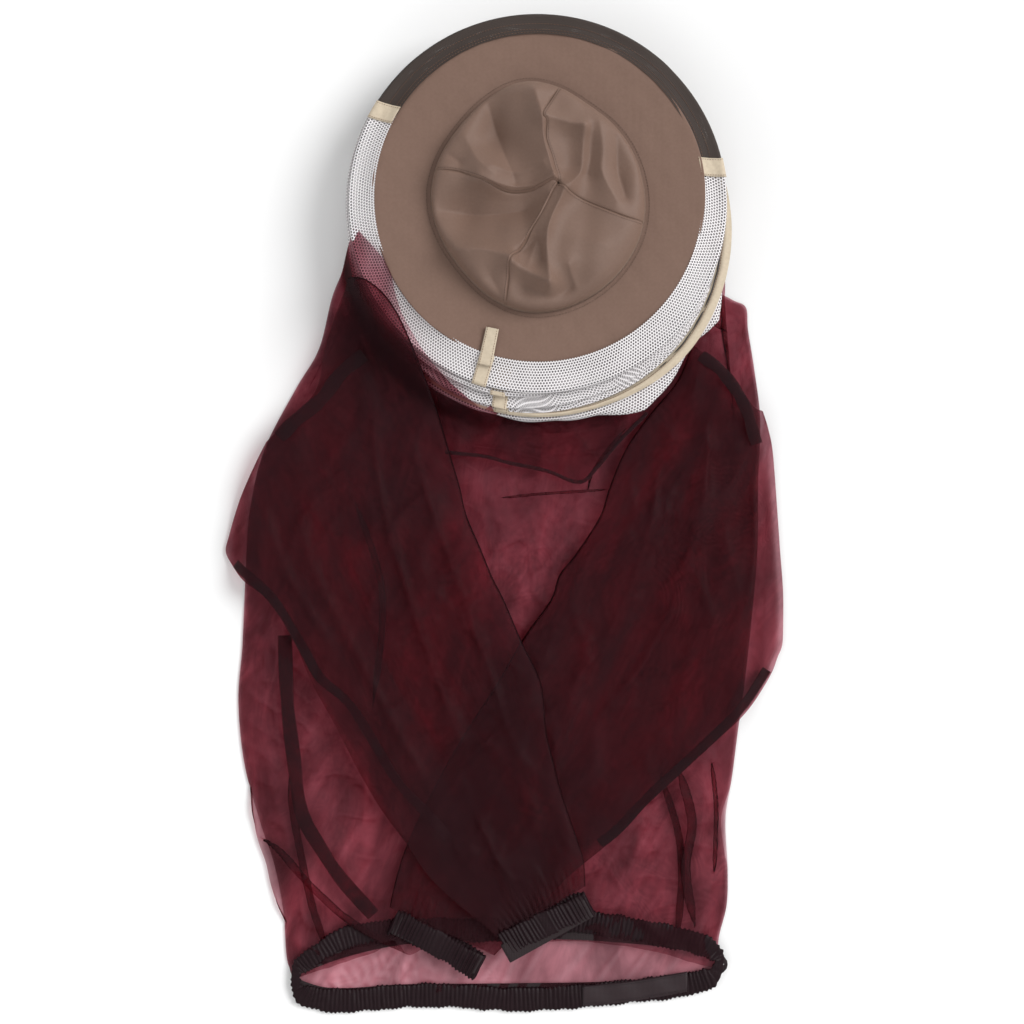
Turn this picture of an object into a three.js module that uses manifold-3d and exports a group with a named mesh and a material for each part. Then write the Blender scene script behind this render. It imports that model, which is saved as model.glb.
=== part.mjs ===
// Pull-over beekeeping smock with an attached round veil hat, laid flat on its front.
// Millimetres. +Z is up, +Y runs from the hem toward the hat, +X is the wearer's right.
import * as THREE from "three";
import { mergeVertices } from "three/addons/utils/BufferGeometryUtils.js";
import { ParametricGeometry } from "three/addons/geometries/ParametricGeometry.js";
import Module from "manifold-3d";

const wasm = await Module();
wasm.setup();

// Shared clearances and cloth
const gap = 0.4; // between two pieces that touch on the real object
const cloth = 1.5; // one modelled layer of body cloth
const tapeThick = 1; // twill tape

// Smock body, half widths to each side of the middle
const hemLeft = 203;
const hemRight = 210;
const hipLeft = 240;
const hipRight = 218;
const waistLeft = 263;
const waistRight = 233;
const chestLeft = 254;
const chestRight = 246;
const hemY = -455; // the front panel ends here, at the hem casing
const hipY = -310;
const waistY = -190;
const chestY = 0;
const bodyRoom = 9; // height between the front and back panels

// Hem casing: a loop whose back half is pulled up
const hemThick = 3.5;
const hemWide = 23;
const hemDrop = 12; // casing centre below the end of the front panel
const hemRise = 46; // how far the back half sits above the front half
const hemPinch = 0.72; // the casing narrows by this share where it turns at the sides
const elasticThick = 0.6;
const patchLength = 104;

// Sleeves
const sleeveThick = 7; // flattened, both layers and the room between
const sleeveWall = 1.2;
const sleeveSeam = 2; // closed edge along both sides
const cuffWidth = 96;
const cuffLength = 24;
const cuffThick = 8.6;
const cuffWall = 1.9;
const leftCuff = { middle: [35, -394], turn: 29 }; // the sleeve's end and how far it points off -Y
const rightCuff = { middle: [-60, -409], turn: -26 };
const cuffElasticWide = 19;

// Hat, veil and neck, all round
const brimMiddle = [32, 298];
const brimRadius = 156.5;
const headRadius = 103; // seam of crown and brim
const coverThick = 1.2;
const foamThick = 3;
const brimBottom = 59;
const crownHeight = 41;
const crownWall = 2.5;
const crownDip = 20; // how far the middle of the collapsed crown sinks
const crownPeak = [50, 309]; // where the four crown seams meet
const sweatbandHeight = 18;
const rimReach = 21.5; // how far the upper hoop holds the mesh outside the brim
const upperHoopMiddle = [31, 293];
const hoopTaper = 2; // the lower hoop is this much smaller
const neckInset = 19; // and the neck seam this much smaller again
const neckMiddle = [33, 270];
const neckTapeWide = 8;
const neckTapeThick = 3;
const wireRadius = 1.5;
const casingWide = 7;
const casingWall = 1;
const lowerVeilHeight = 18.2; // collapsed height, neck to lower hoop
const upperVeilHeight = 14.2; // collapsed height, hoop to hoop
const meshFold = 12; // width of the collapsed mesh roll
const meshThick = 1;
const windowFrom = 11; // the face window's arc, in degrees about the upper hoop
const windowTo = 150;
const backSeam = 252;
const frontTapeWide = 18;
const backTapeWide = 13;
const tailLength = 36;

// Sizes that follow from the hat
const upperHoopRadius = brimRadius + rimReach;
const lowerHoopRadius = upperHoopRadius - hoopTaper;
const neckRadius = lowerHoopRadius - neckInset;
const neckOuter = neckRadius + neckTapeWide / 2;
const neckInner = neckRadius - neckTapeWide / 2;
const shoulderLeft = [neckMiddle[0] - neckOuter - 15, neckMiddle[1] + 4]; // top corner beside the neck
const shoulderRight = [neckMiddle[0] + neckOuter + 24, neckMiddle[1] - 55];

// Heights that follow from the stack of layers
const backBottom = cloth + bodyRoom;
const backTop = backBottom + cloth;
const cuffOver = (cuffThick - sleeveThick) / 2; // a cuff is fatter than its sleeve
const rightSleeveZ = backTop + gap + cuffOver;
const leftSleeveZ = rightSleeveZ + sleeveThick + 2 * cuffOver + gap;
const neckTapeZ = backTop + gap;
const lowerVeilZ = neckTapeZ + neckTapeThick + gap;
const casingZ = lowerVeilZ + lowerVeilHeight + gap;
const upperVeilZ = casingZ + casingWide + gap;
const rimZ = upperVeilZ + upperVeilHeight + gap;
const foamZ = brimBottom + coverThick + gap;
const brimTop = foamZ + foamThick + gap + coverThick;

const degrees = Math.PI / 180;
const ringSegments = 56;
const group = new THREE.Group();

function solidOf(geometry) {
  const bare = geometry.clone();
  bare.deleteAttribute("normal");
  bare.deleteAttribute("uv");
  const merged = mergeVertices(bare, 1e-3);
  return new wasm.Manifold(
    new wasm.Mesh({
      numProp: 3,
      vertProperties: new Float32Array(merged.attributes.position.array),
      triVerts: new Uint32Array(merged.index.array),
    }),
  );
}

function geometryOf(solid) {
  const mesh = solid.getMesh();
  const geometry = new THREE.BufferGeometry();
  geometry.setAttribute("position", new THREE.BufferAttribute(mesh.vertProperties, 3));
  geometry.setIndex(new THREE.BufferAttribute(mesh.triVerts, 1));
  geometry.computeVertexNormals();
  return geometry;
}

function cut(geometry, ...tools) {
  let result = solidOf(geometry);
  for (const tool of tools) result = result.subtract(solidOf(tool));
  return geometryOf(result);
}

function join(first, ...others) {
  let result = solidOf(first);
  for (const other of others) result = result.add(solidOf(other));
  return geometryOf(result);
}

function add(name, geometry, color, roughness) {
  const material = new THREE.MeshStandardMaterial({ color, roughness, metalness: 0 });
  const mesh = new THREE.Mesh(geometry, material);
  mesh.name = name;
  group.add(mesh);
  return mesh;
}

function slab(shape, fromZ, toZ) {
  const options = { depth: toZ - fromZ, bevelEnabled: false, curveSegments: 24 };
  return new THREE.ExtrudeGeometry(shape, options).translate(0, 0, fromZ);
}

// A smooth edge through the given points, as points to draw a shape with.
function edge(points, steps = 3) {
  const curve = new THREE.CatmullRomCurve3(points.map(([x, y]) => new THREE.Vector3(x, y, 0)));
  return curve.getPoints(steps * (points.length - 1)).map((p) => [p.x, p.y]);
}

function outline(points) {
  return new THREE.Shape(points.map(([x, y]) => new THREE.Vector2(x, y)));
}

function arc([x, y], radius, from, to, steps = 24) {
  const points = [];
  for (let i = 0; i <= steps; i++) {
    const angle = (from + ((to - from) * i) / steps) * degrees;
    points.push([x + radius * Math.cos(angle), y + radius * Math.sin(angle)]);
  }
  return points;
}

// A ring about a vertical axis: its section is a closed list of [radius, height].
function ring(section, [x, y], segments = ringSegments) {
  const profile = [...section, section[0]].map(([r, z]) => new THREE.Vector2(r, z));
  return new THREE.LatheGeometry(profile, segments).rotateX(Math.PI / 2).translate(x, y, 0);
}

function band(inner, outer, fromZ, toZ, middle) {
  const section = [[inner, fromZ], [outer, fromZ], [outer, toZ], [inner, toZ]];
  return ring(section, middle);
}

// The part of a ring between two angles, in degrees counterclockwise from +X.
function sector(geometry, [x, y], from, to) {
  const reach = 400;
  const wedge = outline([[x, y], ...arc([x, y], reach, from, to)]);
  return geometryOf(solidOf(geometry).intersect(solidOf(slab(wedge, -1, 200))));
}

// ---- hem ----
const frontArcZ = hemThick / 2;
const backArcZ = backTop - hemThick / 2;
const hemMiddleZ = (frontArcZ + backArcZ) / 2;
const hemY0 = hemY - hemDrop;
const hemPath = new THREE.CatmullRomCurve3(
  [
    [-hemLeft - 4, hemY0 + 13, hemMiddleZ],
    [-hemLeft + 26, hemY0 - 3, frontArcZ],
    [-hemLeft / 2, hemY0 - 1, frontArcZ],
    [0, hemY0, frontArcZ],
    [hemRight / 2, hemY0 + 2, frontArcZ],
    [hemRight - 26, hemY0 + 8, frontArcZ],
    [hemRight + 6, hemY0 + 25, hemMiddleZ],
    [hemRight - 22, hemY0 + 41, backArcZ],
    [hemRight / 2, hemY0 + hemRise + 7, backArcZ],
    [0, hemY0 + hemRise + 10, backArcZ],
    [-hemLeft / 2, hemY0 + hemRise + 4, backArcZ],
    [-hemLeft + 26, hemY0 + 30, backArcZ],
  ].map((p) => new THREE.Vector3(...p)),
  true,
  "centripetal",
);

// A closed band along the hem path. Its section is a list of [across, up] points.
function hemBand(section, slices = 84) {
  const sides = [...section, section[0]];
  const surface = (u, v, target) => {
    const point = hemPath.getPoint(u % 1);
    const along = hemPath.getTangent(u % 1);
    const across = new THREE.Vector3(along.y, -along.x, 0).normalize();
    const [side, up] = sides[Math.round(v * (sides.length - 1))];
    target.copy(point).addScaledVector(across, side * (1 - hemPinch * Math.abs(along.y)));
    target.z = THREE.MathUtils.clamp(point.z, frontArcZ, backArcZ) + up;
  };
  return new ParametricGeometry(surface, slices, sides.length - 1);
}
const halfWide = hemWide / 2;
const halfThick = hemThick / 2;
const clearWide = halfWide + 3 * gap; // more than a gap, because the band narrows at its turns
const clearThick = halfThick + gap;
const hemClear = hemBand([
  [-clearWide, -clearThick],
  [clearWide, -clearThick],
  [clearWide, clearThick],
  [-clearWide, clearThick],
]);

// Where a panel's cloth meets the casing: points beside the path, from one share of it to another.
function hemEdge(from, to, side, steps = 20) {
  const points = [];
  for (let i = 0; i <= steps; i++) {
    const u = from + ((to - from) * i) / steps;
    const point = hemPath.getPoint(u);
    const along = hemPath.getTangent(u);
    points.push([point.x + side * clearWide * along.y, point.y - side * clearWide * along.x]);
  }
  return points;
}
const hemWall = (hemThick - elasticThick) / 2 - 0.6;
const slotWide = 1.2; // the casing's stitched opening, seen only in section
const elasticHalf = halfWide - 6;
const inner = { side: halfWide - 1.4, up: halfThick - hemWall };
add(
  "hem_casing",
  hemBand([
    [-halfWide, -halfThick],
    [halfWide, -halfThick],
    [halfWide, -slotWide / 2 + 0.3],
    [inner.side, -inner.up],
    [-inner.side, -inner.up],
    [-inner.side, inner.up],
    [inner.side, inner.up],
    [halfWide, slotWide / 2 + 0.3],
    [halfWide, halfThick],
    [-halfWide, halfThick],
  ]),
  0x321f25,
  0.7,
);
add(
  "hem_elastic",
  hemBand([
    [-elasticHalf, -elasticThick / 2],
    [elasticHalf, -elasticThick / 2],
    [elasticHalf, elasticThick / 2],
    [-elasticHalf, elasticThick / 2],
  ]),
  0x222022,
  0.8,
);
const patchTo = hemRight - 30; // the patch ends before the casing turns up at the side
const patch = outline([
  [patchTo - patchLength, hemY0 - 8],
  [patchTo - 30, hemY0 - 4],
  [patchTo, hemY0 + 2],
  [patchTo, hemY0 + 16],
  [patchTo - 30, hemY0 + 12],
  [patchTo - patchLength, hemY0 + 9],
]);
const patchZ = hemThick + gap;
add("hem_join_patch", cut(slab(patch, patchZ, patchZ + tapeThick), hemClear), 0x3a2028, 0.6);

// ---- body panels ----
const leftEdge = (inset) =>
  edge([
    [-hemLeft + inset, hemY],
    [-(hemLeft + 0.45 * (hipLeft - hemLeft)) + inset, hemY + 0.45 * (hipY - hemY)],
    [-hipLeft + inset, hipY],
    [-waistLeft + inset, waistY],
    [-chestLeft + inset, chestY],
    [0.5 * (shoulderLeft[0] - chestLeft) + inset - 6, 0.5 * (shoulderLeft[1] + chestY)],
    [shoulderLeft[0] + inset, shoulderLeft[1]],
  ]);
const rightEdge = (inset) =>
  edge([
    [hemRight - inset, hemY + 6],
    [hemRight + 0.8 * (hipRight - hemRight) - inset, hemY + 0.45 * (hipY - hemY)],
    [hipRight - inset, hipY],
    [waistRight - inset, waistY],
    [chestRight - inset, chestY],
    [chestRight + 5 - inset, 0.55 * shoulderRight[1]],
    [shoulderRight[0] - inset, shoulderRight[1]],
  ]);
const collar = 2; // wall of the front panel's upstand at the neck

const frontShape = outline([
  ...leftEdge(0),
  ...arc(neckMiddle, neckOuter, 172, -20, 30),
  ...rightEdge(0).reverse(),
  ...hemEdge(0.44, 0.05, -1),
]);
const upstand = sector(
  band(neckOuter - collar, neckOuter, cloth - 0.5, backTop, neckMiddle),
  neckMiddle,
  -8,
  178,
);
const frontPanel = cut(slab(frontShape, 0, cloth), hemClear);
add("torso_front", join(frontPanel, upstand), 0x6a2730, 0.6);

const backShape = outline([
  ...leftEdge(0),
  ...arc(neckMiddle, neckInner, 184, 342, 30),
  ...rightEdge(0).reverse(),
  ...hemEdge(0.57, 0.94, 1),
]);
const backRoom = outline([
  ...leftEdge(sleeveSeam).map(([x, y], i) => (i ? [x, y] : [x, y - 40])),
  [neckMiddle[0] - neckInner + 30, shoulderLeft[1] + 60],
  [neckMiddle[0] + neckInner - 10, shoulderLeft[1] + 60],
  ...rightEdge(sleeveSeam).reverse().map(([x, y], i, all) => (i < all.length - 1 ? [x, y] : [x, y - 46])),
]);
const leftPivot = [-157, 80];
const rightPivot = [181, 70];
const foldRadius = 40; // bunched cloth at the left armhole, which carries the upper sleeve
const leftFold = slab(outline(arc(leftPivot, foldRadius, 0, 345, 23)), backBottom, leftSleeveZ - gap);
const backPanel = cut(slab(backShape, cloth + gap, backTop), slab(backRoom, 0, backBottom), hemClear);
add("torso_back", join(backPanel, leftFold), 0x5a1f28, 0.6);

// ---- sleeves ----
function cuffFrame({ middle, turn }) {
  const a = turn * degrees;
  const along = [Math.sin(a), -Math.cos(a)];
  const across = [Math.cos(a), Math.sin(a)];
  const at = (side, out) => [
    middle[0] + across[0] * side + along[0] * out,
    middle[1] + across[1] * side + along[1] * out,
  ];
  return { at, angle: a };
}

// A flattened tube of stadium section, drawn across X and Y and pushed out along Z.
function stadium(width, thick) {
  const r = thick / 2;
  const x = width / 2 - r;
  return [...arc([x, 0], r, -90, 90, 8), ...arc([-x, 0], r, 90, 270, 8)];
}
function tube(outer, innerSize, length) {
  const shape = outline(outer);
  shape.holes.push(new THREE.Path(innerSize.map(([x, y]) => new THREE.Vector2(x, y))));
  return new THREE.ExtrudeGeometry(shape, { depth: length, bevelEnabled: false });
}

function sleeve(side, cuff, bottom, outer, innerLine, top, room) {
  const { at, angle } = cuffFrame(cuff);
  const half = cuffWidth / 2;
  const s = side === "left" ? 1 : -1;
  const outerEdge = (inset) => edge([...outer.map(([x, y]) => [x + s * inset, y]), at(-s * (half - inset), 0)]);
  const innerEdge = (inset) =>
    edge([...innerLine.map(([x, y]) => [x - s * inset, y]), at(s * (half - inset), 0)]);
  const skin = outline([...outerEdge(0), ...innerEdge(0).reverse(), ...top]);
  const hollow = outline([
    ...outerEdge(sleeveSeam),
    at(-s * (half - sleeveSeam), 30),
    at(s * (half - sleeveSeam), 30),
    ...innerEdge(sleeveSeam).reverse(),
    ...room,
  ]);
  const cloths = cut(
    slab(skin, bottom, bottom + sleeveThick),
    slab(hollow, bottom + sleeveWall, bottom + sleeveThick - sleeveWall),
  );
  add(`sleeve_${side}`, cloths, 0x4a1820, 0.6);

  const hole = [cuffWidth - 2 * cuffWall, cuffThick - 2 * cuffWall];
  const groove = [hole[0] + 1.6, hole[1] + 1.6];
  const place = (geometry, out) => {
    const [x, y] = at(0, out);
    return geometry
      .rotateX(Math.PI / 2)
      .rotateZ(angle)
      .translate(x, y, bottom + sleeveThick / 2);
  };
  const grooveFrom = gap + (cuffLength - cuffElasticWide - 1) / 2;
  const casing = cut(
    place(tube(stadium(cuffWidth, cuffThick), stadium(...hole), cuffLength), gap),
    place(
      new THREE.ExtrudeGeometry(outline(stadium(...groove)), {
        depth: cuffElasticWide + 1,
        bevelEnabled: false,
      }),
      grooveFrom,
    ),
  );
  add(`cuff_${side}_casing`, casing, 0x2c1c21, 0.7);
  const elastic = place(
    tube(stadium(groove[0] - 0.6, groove[1] - 0.6), stadium(hole[0] - 0.1, hole[1] - 0.1), cuffElasticWide),
    grooveFrom + 0.5,
  );
  add(`cuff_${side}_elastic`, elastic, 0x222022, 0.8);
}

sleeve(
  "left",
  leftCuff,
  leftSleeveZ,
  [[-244, 50], [-266, 2], [-275, -38], [-262, -62], [-225, -91], [-203, -134], [-168, -208], [-120, -293], [-77, -355]],
  [[-53, 54], [-37, -3], [0, -88], [35, -169], [50, -250], [68, -315]],
  [[-80, 90], [-110, 108], [-157, 118], [-205, 102], [-230, 76]],
  [[-55, 150], [-242, 150]],
);
sleeve(
  "right",
  rightCuff,
  rightSleeveZ,
  [[262, 75], [269, -8], [274, -78], [273, -125], [255, -172], [210, -221], [150, -277], [95, -328], [40, -377]],
  [[138, 60], [93, -5], [68, -42], [44, -86], [20, -122], [-20, -190], [-65, -275], [-92, -335]],
  [[158, 95], [190, 112], [225, 110], [250, 95]],
  [[142, 140], [260, 140]],
);

// ---- neck and lower veil tier ----
add("neck_seam_tape", band(neckInner, neckOuter, neckTapeZ, neckTapeZ + neckTapeThick, neckMiddle), 0x4a2a2a, 0.8);

const seamGap = 0.2; // degrees left between two mesh panels
const tiers = [
  { name: "lower", z: lowerVeilZ, height: lowerVeilHeight, middle: neckMiddle, radius: lowerHoopRadius },
  {
    name: "upper",
    z: upperVeilZ,
    height: upperVeilHeight,
    middle: [(neckMiddle[0] + upperHoopMiddle[0]) / 2, (neckMiddle[1] + upperHoopMiddle[1]) / 2],
    radius: upperHoopRadius,
  },
];
for (const { name, z, height, middle, radius } of tiers) {
  const foot = name === "lower" ? neckRadius : radius - meshFold / 2;
  const section = [
    [foot - 4, z],
    [foot + 4, z],
    [radius, z + height * 0.4],
    [radius, z + height],
    [radius - meshFold, z + height],
    [radius - meshFold, z + height * 0.4],
  ];
  const roll = ring(section, middle);
  add(`veil_window_${name}`, sector(roll, middle, windowFrom + seamGap, windowTo - seamGap), 0x3d3533, 0.8);
  add(`veil_side_left_${name}`, sector(roll, middle, windowTo + seamGap, backSeam - seamGap), 0xe6e0de, 0.8);
  add(`veil_side_right_${name}`, sector(roll, middle, backSeam + seamGap, 360 + windowFrom - seamGap), 0xe6e0de, 0.8);
}

// ---- lower hoop in its tape casing ----
const wire = (radius, z, middle) => {
  const section = arc([radius, z], wireRadius, 0, 315, 7);
  return ring(section, middle);
};
const casingOut = lowerHoopRadius + wireRadius + gap + casingWall;
const casingIn = lowerHoopRadius - wireRadius - gap - casingWall;
const casingTop = casingZ + casingWide;
const lip = 1.6; // height of the slot where the casing's edges meet
const slotZ = casingZ + casingWide / 2;
add(
  "lower_hoop_casing",
  ring(
    [
      [casingIn, casingZ],
      [casingOut, casingZ],
      [casingOut, casingTop],
      [casingIn, casingTop],
      [casingIn, slotZ + lip / 2],
      [casingIn + casingWall, slotZ + lip / 2],
      [casingIn + casingWall, casingTop - casingWall],
      [casingOut - casingWall, casingTop - casingWall],
      [casingOut - casingWall, casingZ + casingWall],
      [casingIn + casingWall, casingZ + casingWall],
      [casingIn + casingWall, slotZ - lip / 2],
      [casingIn, slotZ - lip / 2],
    ],
    neckMiddle,
  ),
  0xc8ae90,
  0.75,
);
add("lower_hoop_wire", wire(lowerHoopRadius, slotZ, neckMiddle), 0x8a8a8c, 0.35);

// ---- upper hoop and the mesh folded over it ----
const hoopZ = rimZ + wireRadius + gap;
add("upper_hoop_wire", wire(upperHoopRadius, hoopZ + meshThick, upperHoopMiddle), 0x8a8a8c, 0.35);
const curl = wireRadius + gap;
const flatTop = hoopZ + meshThick + curl + meshThick;
const flatIn = brimRadius + 3;
const rim = cut(
  ring(
    [
      [flatIn, flatTop - meshThick],
      [upperHoopRadius - curl, flatTop - meshThick],
      [upperHoopRadius + curl, flatTop - meshThick],
      [upperHoopRadius + curl, rimZ],
      [upperHoopRadius + curl + meshThick, rimZ],
      [upperHoopRadius + curl + meshThick, flatTop],
      [flatIn, flatTop],
    ],
    upperHoopMiddle,
  ),
  band(1, brimRadius + gap, 0, 200, brimMiddle),
);
const rimSector = (from, to) => sector(rim, upperHoopMiddle, from, to);
add("veil_window_rim", rimSector(windowFrom + seamGap, windowTo - seamGap), 0x3d3533, 0.8);
add("veil_side_left_rim", rimSector(windowTo + seamGap, backSeam - seamGap), 0xe6e0de, 0.8);
add("veil_side_right_rim", rimSector(backSeam + seamGap, 360 + windowFrom - seamGap), 0xe6e0de, 0.8);

// A tape laid radially on the rim, over a seam of the mesh.
function tapeAt(angle, width, fromRadius, toRadius, bottom, [x, y]) {
  return new THREE.BoxGeometry(toRadius - fromRadius, width, tapeThick)
    .translate((fromRadius + toRadius) / 2, 0, bottom + tapeThick / 2)
    .rotateZ(angle * degrees)
    .translate(x, y, 0);
}
const tapeZ = flatTop + gap;
const tapeTo = upperHoopRadius + curl + meshThick;
const tapes = [
  ["front_tape_left", windowTo, frontTapeWide],
  ["front_tape_right", windowFrom, frontTapeWide],
  ["back_tape_rim", backSeam, backTapeWide],
];
for (const [name, angle, width] of tapes) {
  add(name, tapeAt(angle, width, flatIn + 3, tapeTo, tapeZ, upperHoopMiddle), 0xcdbfa8, 0.8);
}
const lowerTape = band(casingOut + gap, casingOut + gap + tapeThick, casingZ, rimZ - gap, neckMiddle);
const tapeHalf = backTapeWide / 2 / casingOut / degrees;
add("back_tape_lower", sector(lowerTape, neckMiddle, 260 - tapeHalf, 260 + tapeHalf), 0xcdbfa8, 0.8);

// ---- brim ----
const foamIn = headRadius + coverThick;
const foamOut = brimRadius - coverThick - gap;
add(
  "brim_lower_cover",
  band(headRadius, brimRadius, brimBottom, brimBottom + coverThick, brimMiddle),
  0x755b4f,
  0.7,
);
add("brim_stiffener", band(foamIn, foamOut, foamZ, foamZ + foamThick, brimMiddle), 0xd8d2c8, 0.9);
const coverZ = foamZ + foamThick + gap;
add(
  "brim_upper_cover",
  ring(
    [
      [headRadius, coverZ],
      [brimRadius - coverThick, coverZ],
      [brimRadius - coverThick, brimBottom + coverThick + gap],
      [brimRadius, brimBottom + coverThick + gap],
      [brimRadius, brimTop],
      [headRadius, brimTop],
    ],
    brimMiddle,
  ),
  0x755b4f,
  0.7,
);

// The loose doubled tail of the back tape lies on the brim, pointing at the crown.
const tailRoot = [
  upperHoopMiddle[0] + (flatIn + 1) * Math.cos(backSeam * degrees),
  upperHoopMiddle[1] + (flatIn + 1) * Math.sin(backSeam * degrees),
];
const tailAngle = 78;
add(
  "back_tape_tail",
  new THREE.BoxGeometry(tailLength, backTapeWide, 2 * tapeThick)
    .translate(tailLength / 2, 0, brimTop + gap + tapeThick)
    .rotateZ(tailAngle * degrees)
    .translate(tailRoot[0], tailRoot[1], 0),
  0xcdbfa8,
  0.8,
);

// ---- crown and sweatband ----
const crownZ = brimTop + gap;
const domePoints = (wall) => [
  [headRadius - wall, 0],
  [headRadius - wall, sweatbandHeight],
  [headRadius * 0.84 - wall, crownHeight * 0.84 - wall * 0.6],
  [headRadius * 0.6, crownHeight - wall],
  [headRadius * 0.3, crownHeight - crownDip * 0.45 - wall],
  [0, crownHeight - crownDip - wall],
];
const raise = ([r, z]) => [r, z + crownZ];
const dome = ring([...domePoints(0).map(raise), ...domePoints(crownWall).map(raise).reverse()], brimMiddle, 48);
const seamAngles = { left: 171, front: 95, right: 352, rear: 262 };
const halfSeam = 0.2;
function quarter(from, to) {
  const [px, py] = crownPeak;
  const far = (angle, shift) => [
    px + 300 * Math.cos(angle * degrees) + halfSeam * shift * -Math.sin(angle * degrees),
    py + 300 * Math.sin(angle * degrees) + halfSeam * shift * Math.cos(angle * degrees),
  ];
  const middle = (from + to) / 2;
  const near = [px + 0.4 * Math.cos(middle * degrees), py + 0.4 * Math.sin(middle * degrees)];
  const wedge = outline([near, far(from, 1), far(middle, 0), far(to, -1)]);
  return geometryOf(solidOf(dome).intersect(solidOf(slab(wedge, 0, 300))));
}
const quarters = [
  ["crown_front_right", seamAngles.right - 360, seamAngles.front],
  ["crown_front_left", seamAngles.front, seamAngles.left],
  ["crown_rear_left", seamAngles.left, seamAngles.rear],
  ["crown_rear_right", seamAngles.rear, seamAngles.right],
];
for (const [name, from, to] of quarters) add(name, quarter(from, to), 0x6e5549, 0.65);

const bandOut = headRadius - crownWall - gap;
add(
  "sweatband",
  band(bandOut - coverThick, bandOut, brimBottom, brimBottom + sweatbandHeight, brimMiddle),
  0xb9a68c,
  0.8,
);

export default group;
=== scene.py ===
import math

import bmesh
import bpy
import numpy as np
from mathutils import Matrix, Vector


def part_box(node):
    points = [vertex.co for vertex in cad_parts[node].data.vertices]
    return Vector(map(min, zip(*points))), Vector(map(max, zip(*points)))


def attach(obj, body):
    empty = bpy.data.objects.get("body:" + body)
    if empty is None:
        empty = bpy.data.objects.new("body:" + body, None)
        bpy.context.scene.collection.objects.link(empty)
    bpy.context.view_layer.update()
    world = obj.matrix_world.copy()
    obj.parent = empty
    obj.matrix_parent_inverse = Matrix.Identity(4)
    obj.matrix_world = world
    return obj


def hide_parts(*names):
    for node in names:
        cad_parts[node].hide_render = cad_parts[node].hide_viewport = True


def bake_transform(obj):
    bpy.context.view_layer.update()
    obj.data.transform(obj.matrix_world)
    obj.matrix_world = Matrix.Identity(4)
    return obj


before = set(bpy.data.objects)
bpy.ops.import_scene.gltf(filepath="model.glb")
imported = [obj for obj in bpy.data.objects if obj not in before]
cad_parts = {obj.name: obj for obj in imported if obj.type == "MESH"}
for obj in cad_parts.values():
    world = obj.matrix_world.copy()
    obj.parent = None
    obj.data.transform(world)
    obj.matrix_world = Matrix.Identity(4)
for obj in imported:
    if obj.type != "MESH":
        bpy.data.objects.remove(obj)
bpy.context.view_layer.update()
mm = 0.001


camera = {"height": 2.0, "x": 6.9 * mm, "y": 0.0, "viewWidth": 1.0035}
light = {"world": 0.58, "sun": 2.3, "sunFrom": (1.0, 0.42, 0.95), "softness": 34, "fill": 5.0, "top": 5.0}


def look(obj, at):
    direction = np.array(at) - np.array(obj.location)
    flat = math.hypot(direction[0], direction[1])
    obj.rotation_euler = (math.atan2(flat, -direction[2]), 0, math.atan2(direction[1], direction[0])
                          - math.pi / 2)


def areaLight(name, place, size, power):
    data = bpy.data.lights.new(name, "AREA")
    data.shape = "RECTANGLE"
    data.size, data.size_y = size
    data.energy = power
    lamp = bpy.data.objects.new(name, data)
    lamp.location = place
    look(lamp, (0, 0, 0))
    bpy.context.scene.collection.objects.link(lamp)


def makeStage():
    scene = bpy.context.scene
    data = bpy.data.cameras.new("camera")
    data.sensor_width = 36
    data.lens = data.sensor_width * camera["height"] / camera["viewWidth"]
    cam = bpy.data.objects.new("camera", data)
    cam.location = (camera["x"], camera["y"], camera["height"])
    scene.collection.objects.link(cam)
    scene.camera = cam
    scene.view_settings.view_transform = "Standard"
    scene.cycles.transparent_max_bounces = 40

    world = bpy.data.worlds.new("studio")
    world.use_nodes = True
    world.node_tree.nodes["Background"].inputs["Color"].default_value = (1, 1, 1, 1)
    world.node_tree.nodes["Background"].inputs["Strength"].default_value = light["world"]
    scene.world = world
    sun = bpy.data.lights.new("key", "SUN")
    sun.energy = light["sun"]
    sun.angle = math.radians(light["softness"])
    lamp = bpy.data.objects.new("key", sun)
    lamp.location = light["sunFrom"]
    look(lamp, (0, 0, 0))
    scene.collection.objects.link(lamp)
    areaLight("fill", (-1.7, -0.4, 1.5), (1.4, 1.4), light["fill"])
    areaLight("top", (0.2, -1.7, 1.9), (1.4, 1.0), light["top"])

    size = 3.2
    mesh = bpy.data.meshes.new("floor")
    mesh.from_pydata([(-size, -size, 0), (size, -size, 0), (size, size, 0), (-size, size, 0)], [],
                     [(0, 1, 2, 3)])
    floor = bpy.data.objects.new("floor", mesh)
    floor.location = (0, 0, -0.3 * mm)
    scene.collection.objects.link(floor)
    paper = plainMaterial("white_paper", (0.93, 0.93, 0.93), 0.9)
    mesh.materials.append(paper)


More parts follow.
